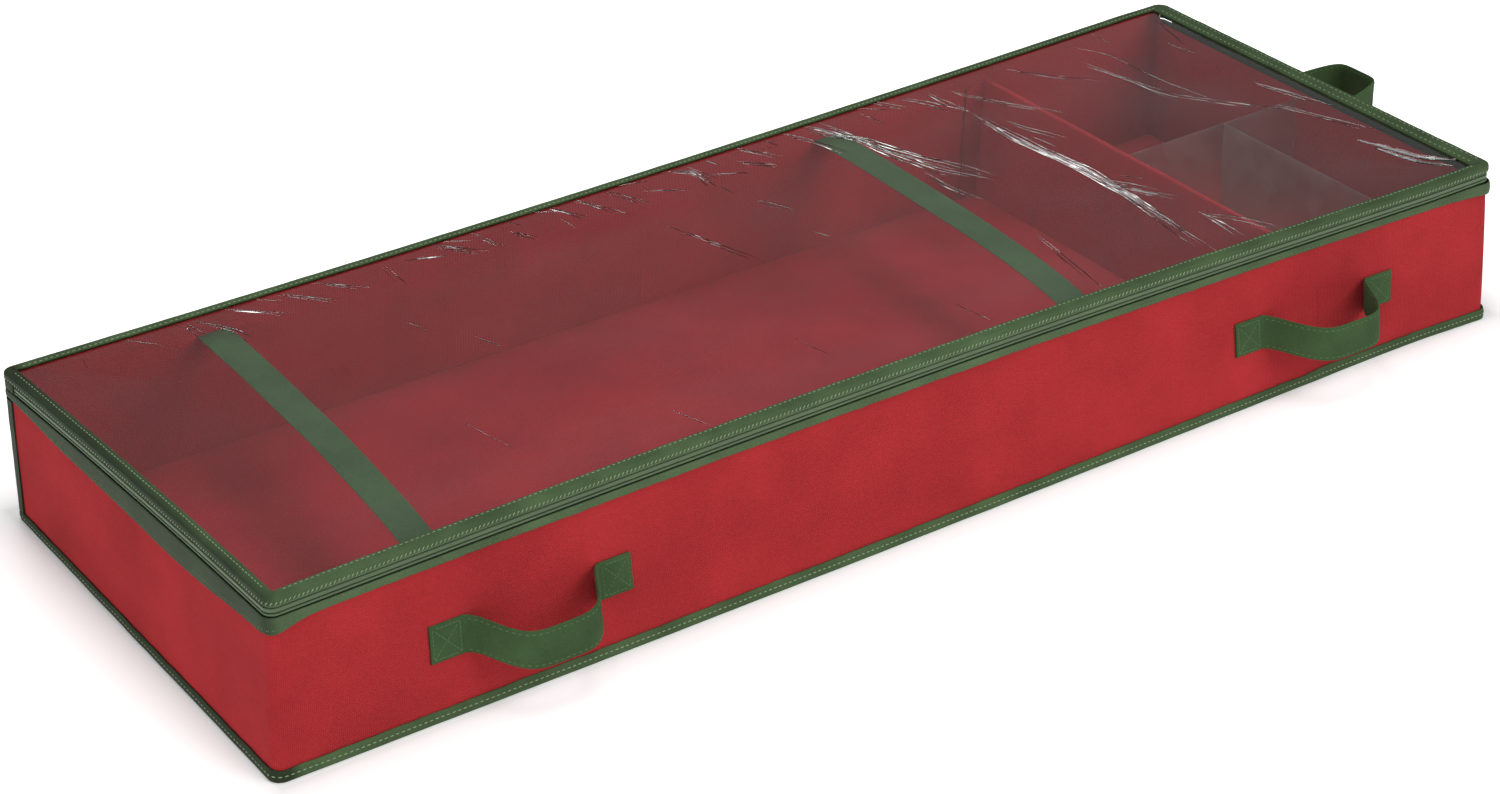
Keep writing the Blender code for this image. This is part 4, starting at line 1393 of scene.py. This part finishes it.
def stitch_row(name, count, pitch):
    """Many copies of one stitch in a row along X, each lying in the middle of its pitch."""
    sizes = bpy.context.scene.organizer_sizes
    deselect()
    bpy.ops.mesh.primitive_uv_sphere_add(segments=6, ring_count=4, radius=0.5,
                                         rotation=(0, QUARTER, 0))
    piece = name_piece(name)
    piece.scale = (sizes.stitch_width, sizes.stitch_width, sizes.stitch_length)
    bpy.ops.object.transform_apply(location=True, rotation=True, scale=True)
    apply_modifier(piece, "ARRAY", count=count, use_relative_offset=False,
                   use_constant_offset=True, constant_offset_displace=(pitch, 0, 0))
    return piece


def sew(name, line, body, lift=0.0, slant=0.0, pitch=None, thread="thread"):
    """Stitches along a line of points with outward directions."""
    sizes = bpy.context.scene.organizer_sizes
    pitch = pitch or sizes.stitch_length + sizes.stitch_gap
    spots = np.array([list(point) for point, _ in line])
    ways = np.array([list(way) for _, way in line])
    reached = reached_along(spots)
    count = max(1, int(reached[-1] / pitch))
    piece = stitch_row(name, count, pitch)
    place = read_places(piece.data)
    index = np.clip(np.round(place[:, 0] / pitch), 0, count - 1)
    centre = (index + 0.5) * pitch
    local = place[:, 0] - index * pitch
    origin = points_at(centre, reached, spots)
    tangent = (points_at(centre + TANGENT_REACH, reached, spots)
               - points_at(centre - TANGENT_REACH, reached, spots))
    tangent /= np.linalg.norm(tangent, axis=1)[:, None]
    out = points_at(centre, reached, ways)
    out -= tangent * np.sum(out * tangent, axis=1)[:, None]
    out /= np.linalg.norm(out, axis=1)[:, None]
    across = np.cross(out, tangent)
    turned = tangent * math.cos(slant) + across * math.sin(slant)
    aside = np.cross(out, turned)
    moved = origin + turned * local[:, None] + aside * place[:, 1:2]
    moved += out * (place[:, 2:3] * STITCH_FLAT + lift)
    write_places(piece.data, moved)
    edit(piece)
    bpy.ops.mesh.normals_make_consistent(inside=False)
    leave_edit()
    map_by_sides(piece)
    smooth(piece, 180)
    return dress(piece, body, thread)


def round_line(stations, inset, z, flat=False):
    line = []
    for station in stations:
        way = Vector((0, 0, 1)) if flat else outwards(station)
        line.append((place_on(station, inset, z), way))
    return line


def build_stitching():
    """Stitch rows on the bindings and lid edge, and the seams of handles and divider."""
    zipped = zipped_sides(4 * MM)
    rim = [(place - Vector((0, 0, rim_drop(place) * 0.75)), way)
           for place, way in round_line(zipped, 0.0, RIM_LOW + ROW_IN)]
    foot = [(place + way * bottom_push(place), way)
            for place, way in round_line(all_round(4 * MM), 0.0, BOTTOM_ROW)]
    rows = [
        sew("bottom_binding_stitches", foot, "box", 0.45 * MM),
        sew("rim_binding_stitches", rim, "box", 0.2 * MM, thread="webbing thread"),
        sew("lid_skirt_stitches", round_line(zipped, 0.0, SKIRT_LOW + 1.5 * MM), "lid",
            0.12 * MM, math.radians(50), 3.2 * MM),
    ]
    rows += lid_stitches()
    back = route(BACK, -HALF_LENGTH + 12 * MM, 0, HALF_LENGTH - 12 * MM, 5 * MM)
    line = round_line(back, 6.2 * MM, HEIGHT + 0.25 * MM, True)
    rows.append(sew("lid_back_stitches", line, "lid"))
    line = round_line(back, 0.0, RIM_LOW + ROW_IN)
    rows.append(sew("back_hinge_stitches", line, "box", 0.05 * MM))
    seam = [(Vector((DIVIDER_SEAM, -HALF_WIDTH + COVER_INSET, z)), Vector((0, -1, 0)))
            for z in levels(10 * MM, RIM_LOW - 2 * MM, 19)]
    row = sew("divider_seam_stitches", seam, "box", -0.15 * MM, thread="red thread")
    for name in HANDLES:
        for row in patch_stitches(name) + edge_stitches(name):
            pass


def lid_stitches():
    """The rows along the lid's tapes, lying on the crown that the tapes have there."""
    straight = HALF_WIDTH - 12 * MM
    shares, swells = zip((0, 0), *LID_TAPE_SWELL, (1, 0))
    made = []
    for name, side, inset, reach in (
            ("lid_right_outer_stitches", RIGHT, 4 * MM, straight),
            ("lid_right_inner_stitches", RIGHT, 11.5 * MM, straight),
            ("lid_left_stitches", LEFT, 5.5 * MM, straight),
            ("lid_front_stitches", FRONT, 6.2 * MM, HALF_LENGTH - 14 * MM)):
        crown = np.interp(inset / LID_TAPE_WIDTHS[side], shares, swells)
        line = round_line(route(side, -reach, 0, reach, 2.5 * MM), inset, HEIGHT, True)
        line = [(place + way * (crown + lid_tape_lift(place)), way) for place, way in line]
        pitch = 5 * MM if side == RIGHT else None
        made.append(sew(name, line, "lid", 0.2 * MM, pitch=pitch))
    return made


def patch_stitches(name):
    """A box with a cross on both sewn ends of a handle."""
    made = []
    lines = handle_line(name)
    length = lines[-1][3]
    patches = ((PATCH_ROW_IN, PATCH - PATCH_ROW_IN),
               (length - PATCH + PATCH_ROW_IN, length - PATCH_ROW_IN))
    for end, places in enumerate(patches, 1):
        low, high = (lines[round(place / length * HANDLE_STEPS)] for place in places)
        rise = low[1] * (WEBBING_HALF_WIDTH - ROW_IN)
        face = low[2] * outward_sign(low[2], name)
        corners = [low[0] - rise, high[0] - rise, high[0] + rise, low[0] + rise]
        corners = [corner + face * WEBBING_THIN for corner in corners]
        for part, (a, b) in enumerate(((0, 1), (1, 2), (2, 3), (3, 0), (0, 2), (1, 3)), 1):
            line = [(corners[a].lerp(corners[b], share / 4), face) for share in range(5)]
            made.append(sew("%s_patch_%d_stitches_%d" % (name, end, part), line, "box",
                            pitch=2.9 * MM, thread="webbing thread"))
    return made


def edge_stitches(name):
    """Rows of stitches along both edges of a loop, on both faces of its webbing."""
    made = []
    lines = handle_line(name)
    length = lines[-1][3]
    sewn = PATCH + PATCH_ROW_IN
    free = [spot for spot in lines if sewn < spot[3] < length - sewn]
    sign = outward_sign(lines[0][2], name)
    for edge in (-1, 1):
        for face in (-1, 1):
            line = []
            for centre, across, through, _ in free:
                way = through * sign * face
                place = centre + across * edge * (WEBBING_HALF_WIDTH - ROW_IN)
                line.append((place + way * WEBBING_THIN, way))
            row = sew("%s_edge_stitches_%d_%d" % (name, (edge + 3) // 2, (face + 3) // 2),
                      line, None, pitch=4.4 * MM, thread="webbing thread")
            blend_handle(row, name)
            made.append(row)
    return made


def outward_sign(way, name):
    return math.copysign(1, way.dot(SIDES[HANDLES[name]["side"]][1]))


# Studio

# Where the floor's added white starts to grow beside the box, and how far off it is full; the weaker
# white near the box is a painted shadow
PAINTED_SHADOW_CORE = (HALF_LENGTH + 4 * MM, HALF_WIDTH + 14 * MM, 1)
PAINTED_SHADOW_REACH = 0.3

# The photograph's camera: its place, the ways right and up in its picture, lens and shift
CAMERA_PLACE = Vector((-1.26110, -1.78335, 1.25570))
CAMERA_RIGHT = Vector((0.81972, -0.57266, -0.01119))
CAMERA_UP = Vector((0.29169, 0.40056, 0.86860))
CAMERA_LENS = 83.41
CAMERA_SHIFT = (0.0023, -0.0005)
SENSOR_WIDTH = 36


def seen_rays(tree, share):
    """1 for rays from the camera, and a share of it for those off or through film."""
    paths = tree.nodes.new("ShaderNodeLightPath")
    other = math_step(tree, "MAXIMUM", paths.outputs["Is Glossy Ray"],
                      paths.outputs["Is Transmission Ray"])
    other = math_step(tree, "MULTIPLY", other, share)
    return math_step(tree, "MAXIMUM", paths.outputs["Is Camera Ray"], other)


def glow_with_painted_shadow(tree, source, near):
    """A value that grows from near beside the box's foot to 1 at some distance from it; kept low beside
    the box, the floor's added white there paints a shadow.
    """
    size = vector_step(tree, "ABSOLUTE", source)
    beyond = vector_step(tree, "SUBTRACT", size.outputs[0], PAINTED_SHADOW_CORE)
    outside = vector_step(tree, "MAXIMUM", beyond.outputs[0])
    distance = vector_step(tree, "LENGTH", outside.outputs[0])
    share = math_step(tree, "DIVIDE", distance.outputs["Value"], PAINTED_SHADOW_REACH)
    share = math_step(tree, "POWER", math_step(tree, "MINIMUM", share, 1.0), 0.5)
    return math_step(tree, "MULTIPLY_ADD", share, 1 - near, near)


def build_stage():
    """Pale floor, soft lamps, and the camera at the photograph's angle."""
    stage = bpy.context.scene.organizer_stage
    build_floor(stage)
    build_world(stage)
    for name, place, size, power in (
            ("overhead_lamp", (-0.2, -0.3, 3.2), (1.5, 1.5), stage.overhead),
            ("back_lamp", (0.1, 1.6, 2.5), (0.9, 1.8), stage.back),
            ("key_lamp", (1.2, -2.4, 1.7), (2.2, 2.0), stage.key),
            ("fill_lamp", (-2.6, -0.9, 0.7), (2.2, 1.2), stage.fill)):
        deselect()
        bpy.ops.object.light_add(type="AREA", location=place)
        lamp = bpy.context.object
        lamp.name = name
        lamp.data.shape = "RECTANGLE"
        lamp.data.energy = power
        lamp.data.size, lamp.data.size_y = size
        lamp.rotation_mode = "QUATERNION"
        lamp.rotation_quaternion = (-Vector(place)).to_track_quat("-Z", "Y")
    build_camera()


def build_floor(stage):
    deselect()
    bpy.ops.mesh.primitive_plane_add(size=14, location=(0, 0, -0.2 * MM))
    floor = name_piece("studio_floor")
    bpy.ops.object.transform_apply(location=True, rotation=True, scale=True)
    paper, tree, shader, source = start_material("studio floor", 0.9, mapped=False)
    clouds = add_group(tree, bpy.data.node_groups["slow mottling"], source, Size=0.6)
    tint = mix_colours(tree, clouds.outputs["Value"], shaded(stage.floor, 0.995),
                       stage.floor)
    tree.links.new(tint, shader.inputs["Base Color"])
    shader.inputs["Specular IOR Level"].default_value = 0.0
    glow = tree.nodes.new("ShaderNodeEmission")
    # painted shadow: the camera sees less added white on the floor near the box
    painted_shadow_glow_share = glow_with_painted_shadow(tree, source, stage.glow_in_painted_shadow)
    tree.links.new(math_step(tree, "MULTIPLY", seen_rays(tree, 1.0), painted_shadow_glow_share),
                   glow.inputs["Strength"])
    both = tree.nodes.new("ShaderNodeAddShader")
    tree.links.new(shader.outputs[0], both.inputs[0])
    tree.links.new(glow.outputs[0], both.inputs[1])
    tree.links.new(both.outputs[0], tree.nodes["Material Output"].inputs["Surface"])
    floor.data.materials.append(paper)


def build_world(stage):
    world = bpy.data.worlds.new("studio")
    world.use_nodes = True
    bpy.context.scene.world = world
    tree = world.node_tree
    sky = tree.nodes["Background"]
    sky.inputs["Color"].default_value = (1, 1, 1, 1)
    strength = math_step(tree, "MULTIPLY_ADD", seen_rays(tree, stage.mirrored),
                         1 - stage.ambient, stage.ambient)
    tree.links.new(strength, sky.inputs["Strength"])


def build_camera():
    deselect()
    bpy.ops.object.camera_add()
    camera = bpy.context.object
    camera.name = "photo_camera"
    turn = Matrix((CAMERA_RIGHT, CAMERA_UP, CAMERA_RIGHT.cross(CAMERA_UP)))
    camera.matrix_world = Matrix.Translation(CAMERA_PLACE) @ turn.transposed().to_4x4()
    camera.data.lens = CAMERA_LENS
    camera.data.sensor_width = SENSOR_WIDTH
    camera.data.shift_x, camera.data.shift_y = CAMERA_SHIFT
    camera.data.clip_start = 0.05
    camera.data.clip_end = 60
    bpy.context.scene.camera = camera
    bpy.context.scene.view_settings.view_transform = "Standard"


# Settings, operators and panel

class OrganizerSizes(bpy.types.PropertyGroup):
    """Sizes that a user may change."""

    stitch_length: bpy.props.FloatProperty(
        name="Stitch length", description="Length of one stitch", default=2.6 * MM,
        unit="LENGTH")
    stitch_gap: bpy.props.FloatProperty(
        name="Stitch gap", description="Bare tape between two stitches", default=1.4 * MM,
        unit="LENGTH")
    stitch_width: bpy.props.FloatProperty(
        name="Thread width", description="Thickness of the sewing thread",
        default=0.8 * MM, unit="LENGTH")
    cloth_wave: bpy.props.FloatProperty(
        name="Cloth wave", description="How far the wall cloth stands off its board",
        default=0.9 * MM, unit="LENGTH")
    film_sag: bpy.props.FloatProperty(
        name="Film sag", description="How far the clear lid hangs in its middle",
        default=2.5 * MM, unit="LENGTH")
    settling: bpy.props.FloatProperty(
        name="Settling", description="0 for straight walls, 1 as settled in use",
        default=1.0, min=0, max=1.5)
    crease_height: bpy.props.FloatProperty(
        name="Crease size", description="Size of the film's creases, 1 mm for ordinary ones",
        default=0.6 * MM, unit="LENGTH")


def colour_property(name, words, value):
    return bpy.props.FloatVectorProperty(name=name, description=words, default=value,
                                         size=3, min=0, max=1, subtype="COLOR")


class OrganizerColours(bpy.types.PropertyGroup):
    """Colours that a user may change."""

    cloth: colour_property("Cloth", "Outer cloth", (0.47, 0.030, 0.035))
    lining: colour_property("Lining", "Inner cloth and divider", (0.43, 0.017, 0.026))
    binding: colour_property("Binding", "Dark folded tape", (0.058, 0.102, 0.040))
    tape: colour_property("Tape", "Lighter tape beside the zip", (0.076, 0.122, 0.055))
    webbing: colour_property("Webbing", "Handles and straps", (0.050, 0.096, 0.037))
    coil: colour_property("Coil", "Zip coil", (0.088, 0.140, 0.068))
    zip_tape: colour_property("Zip tape", "Cloth strip over the coils", (0.115, 0.170, 0.09))
    thread: colour_property("Thread", "Sewing thread", (0.32, 0.43, 0.26))
    webbing_thread: colour_property("Webbing thread", "Thread on handles", (0.10, 0.19, 0.08))
    seam: colour_property("Seam thread", "Thread of the divider seam", (0.28, 0.02, 0.025))
    film: colour_property("Film", "Clear lid window", (0.97, 0.985, 0.98))
    frosted: colour_property("Frosted sheet", "Clear partitions", (0.80, 0.82, 0.76))
    board: colour_property("Board", "Chipboard in the walls", (0.35, 0.30, 0.24))
    metal: colour_property("Metal", "Zip slider and pull", (0.04, 0.09, 0.04))


class OrganizerStage(bpy.types.PropertyGroup):
    """Studio values that a user may change."""

    floor: colour_property("Floor", "Studio floor", (0.94, 0.94, 0.94))
    # painted shadow: the floor's added white beside the box, less than the full white further off
    glow_in_painted_shadow: bpy.props.FloatProperty(
        name="Floor glow", description="White that the camera sees added beside the box",
        default=0.16, min=0, max=1)
    ambient: bpy.props.FloatProperty(
        name="Ambient", description="Strength of the even light", default=0.20, min=0)
    mirrored: bpy.props.FloatProperty(
        name="Mirrored white", description="Share of the white backdrop that film mirrors",
        default=0.03, min=0, max=1)
    overhead: bpy.props.FloatProperty(
        name="Overhead lamp", description="Power of the lamp above", default=28, min=0)
    back: bpy.props.FloatProperty(
        name="Back lamp", description="Power of the long lamp behind", default=14, min=0)
    key: bpy.props.FloatProperty(
        name="Key lamp", description="Power of the lamp in front", default=42, min=0)
    fill: bpy.props.FloatProperty(
        name="Fill lamp", description="Power of the lamp on the left", default=22, min=0)


class ORGANIZER_OT_materials(bpy.types.Operator):
    """Makes every material."""

    bl_idname = "organizer.materials"
    bl_label = "Materials"

    def execute(self, context):
        make_materials()
        return {"FINISHED"}


class ORGANIZER_OT_stage(bpy.types.Operator):
    """Adds floor, lamps and camera."""

    bl_idname = "organizer.stage"
    bl_label = "Stage"

    def execute(self, context):
        build_stage()
        return {"FINISHED"}


class ORGANIZER_OT_covers(bpy.types.Operator):
    """Makes the outer cloth."""

    bl_idname = "organizer.covers"
    bl_label = "Outer covers"

    def execute(self, context):
        build_outer_covers()
        return {"FINISHED"}


class ORGANIZER_OT_linings(bpy.types.Operator):
    """Makes the inner cloth."""

    bl_idname = "organizer.linings"
    bl_label = "Linings"

    def execute(self, context):
        build_linings()
        return {"FINISHED"}


class ORGANIZER_OT_bottom(bpy.types.Operator):
    """Makes the tape round the bottom."""

    bl_idname = "organizer.bottom"
    bl_label = "Bottom binding"

    def execute(self, context):
        build_bottom_binding()
        return {"FINISHED"}


class ORGANIZER_OT_rim(bpy.types.Operator):
    """Makes the tapes at rim and corners."""

    bl_idname = "organizer.rim"
    bl_label = "Rim bindings"

    def execute(self, context):
        build_rim_bindings()
        return {"FINISHED"}


class ORGANIZER_OT_zip(bpy.types.Operator):
    """Makes tapes, coils and end tabs."""

    bl_idname = "organizer.zip"
    bl_label = "Zip"

    def execute(self, context):
        build_zip()
        return {"FINISHED"}


class ORGANIZER_OT_lid_edges(bpy.types.Operator):
    """Makes the lid's tapes."""

    bl_idname = "organizer.lid_edges"
    bl_label = "Lid bindings"

    def execute(self, context):
        build_lid_bindings()
        return {"FINISHED"}


class ORGANIZER_OT_window(bpy.types.Operator):
    """Makes the clear film."""

    bl_idname = "organizer.window"
    bl_label = "Lid window"

    def execute(self, context):
        build_lid_window()
        return {"FINISHED"}


class ORGANIZER_OT_divider(bpy.types.Operator):
    """Makes the divider's cloth."""

    bl_idname = "organizer.divider"
    bl_label = "Divider"

    def execute(self, context):
        build_divider()
        return {"FINISHED"}


class ORGANIZER_OT_fittings(bpy.types.Operator):
    """Makes the boards and partitions."""

    bl_idname = "organizer.fittings"
    bl_label = "Partitions and boards"

    def execute(self, context):
        build_boards()
        return {"FINISHED"}


class ORGANIZER_OT_straps(bpy.types.Operator):
    """Makes the hold-down straps."""

    bl_idname = "organizer.straps"
    bl_label = "Straps"

    def execute(self, context):
        build_straps()
        return {"FINISHED"}


class ORGANIZER_OT_handles(bpy.types.Operator):
    """Makes the webbing handles."""

    bl_idname = "organizer.handles"
    bl_label = "Handles"

    def execute(self, context):
        build_handles()
        return {"FINISHED"}


class ORGANIZER_OT_slider(bpy.types.Operator):
    """Makes the zip slider and pull."""

    bl_idname = "organizer.slider"
    bl_label = "Slider"

    def execute(self, context):
        build_slider()
        return {"FINISHED"}


class ORGANIZER_OT_stitching(bpy.types.Operator):
    """Adds every stitch row."""

    bl_idname = "organizer.stitching"
    bl_label = "Stitching"

    def execute(self, context):
        build_stitching()
        return {"FINISHED"}


OPERATORS = (
    ORGANIZER_OT_materials,
    ORGANIZER_OT_stage,
    ORGANIZER_OT_covers,
    ORGANIZER_OT_linings,
    ORGANIZER_OT_bottom,
    ORGANIZER_OT_rim,
    ORGANIZER_OT_zip,
    ORGANIZER_OT_lid_edges,
    ORGANIZER_OT_window,
    ORGANIZER_OT_divider,
    ORGANIZER_OT_fittings,
    ORGANIZER_OT_straps,
    ORGANIZER_OT_handles,
    ORGANIZER_OT_slider,
    ORGANIZER_OT_stitching,
)


class ORGANIZER_PT_panel(bpy.types.Panel):
    """Lists the organizer's steps."""

    bl_idname = "ORGANIZER_PT_panel"
    bl_label = "Organizer"
    bl_space_type = "VIEW_3D"
    bl_region_type = "UI"
    bl_category = "Organizer"

    def draw(self, context):
        scene = context.scene
        for group in (scene.organizer_sizes, scene.organizer_colours, scene.organizer_stage):
            for key in group.bl_rna.properties.keys():
                if key not in ("rna_type", "name"):
                    self.layout.prop(group, key)
        for operator in OPERATORS:
            self.layout.operator(operator.bl_idname)


GROUPS = (("organizer_sizes", OrganizerSizes), ("organizer_colours", OrganizerColours),
          ("organizer_stage", OrganizerStage))


def register():
    for name, group in GROUPS:
        bpy.utils.register_class(group)
        setattr(bpy.types.Scene, name, bpy.props.PointerProperty(type=group))
    for operator in OPERATORS:
        bpy.utils.register_class(operator)
    bpy.utils.register_class(ORGANIZER_PT_panel)


def unregister():
    bpy.utils.unregister_class(ORGANIZER_PT_panel)
    for operator in reversed(OPERATORS):
        bpy.utils.unregister_class(operator)
    for name, group in reversed(GROUPS):
        delattr(bpy.types.Scene, name)
        bpy.utils.unregister_class(group)


def main():
    register()
    for operator in OPERATORS:
        module, name = operator.bl_idname.split(".")
        getattr(getattr(bpy.ops, module), name)()


if __name__ == "__main__":
    main()
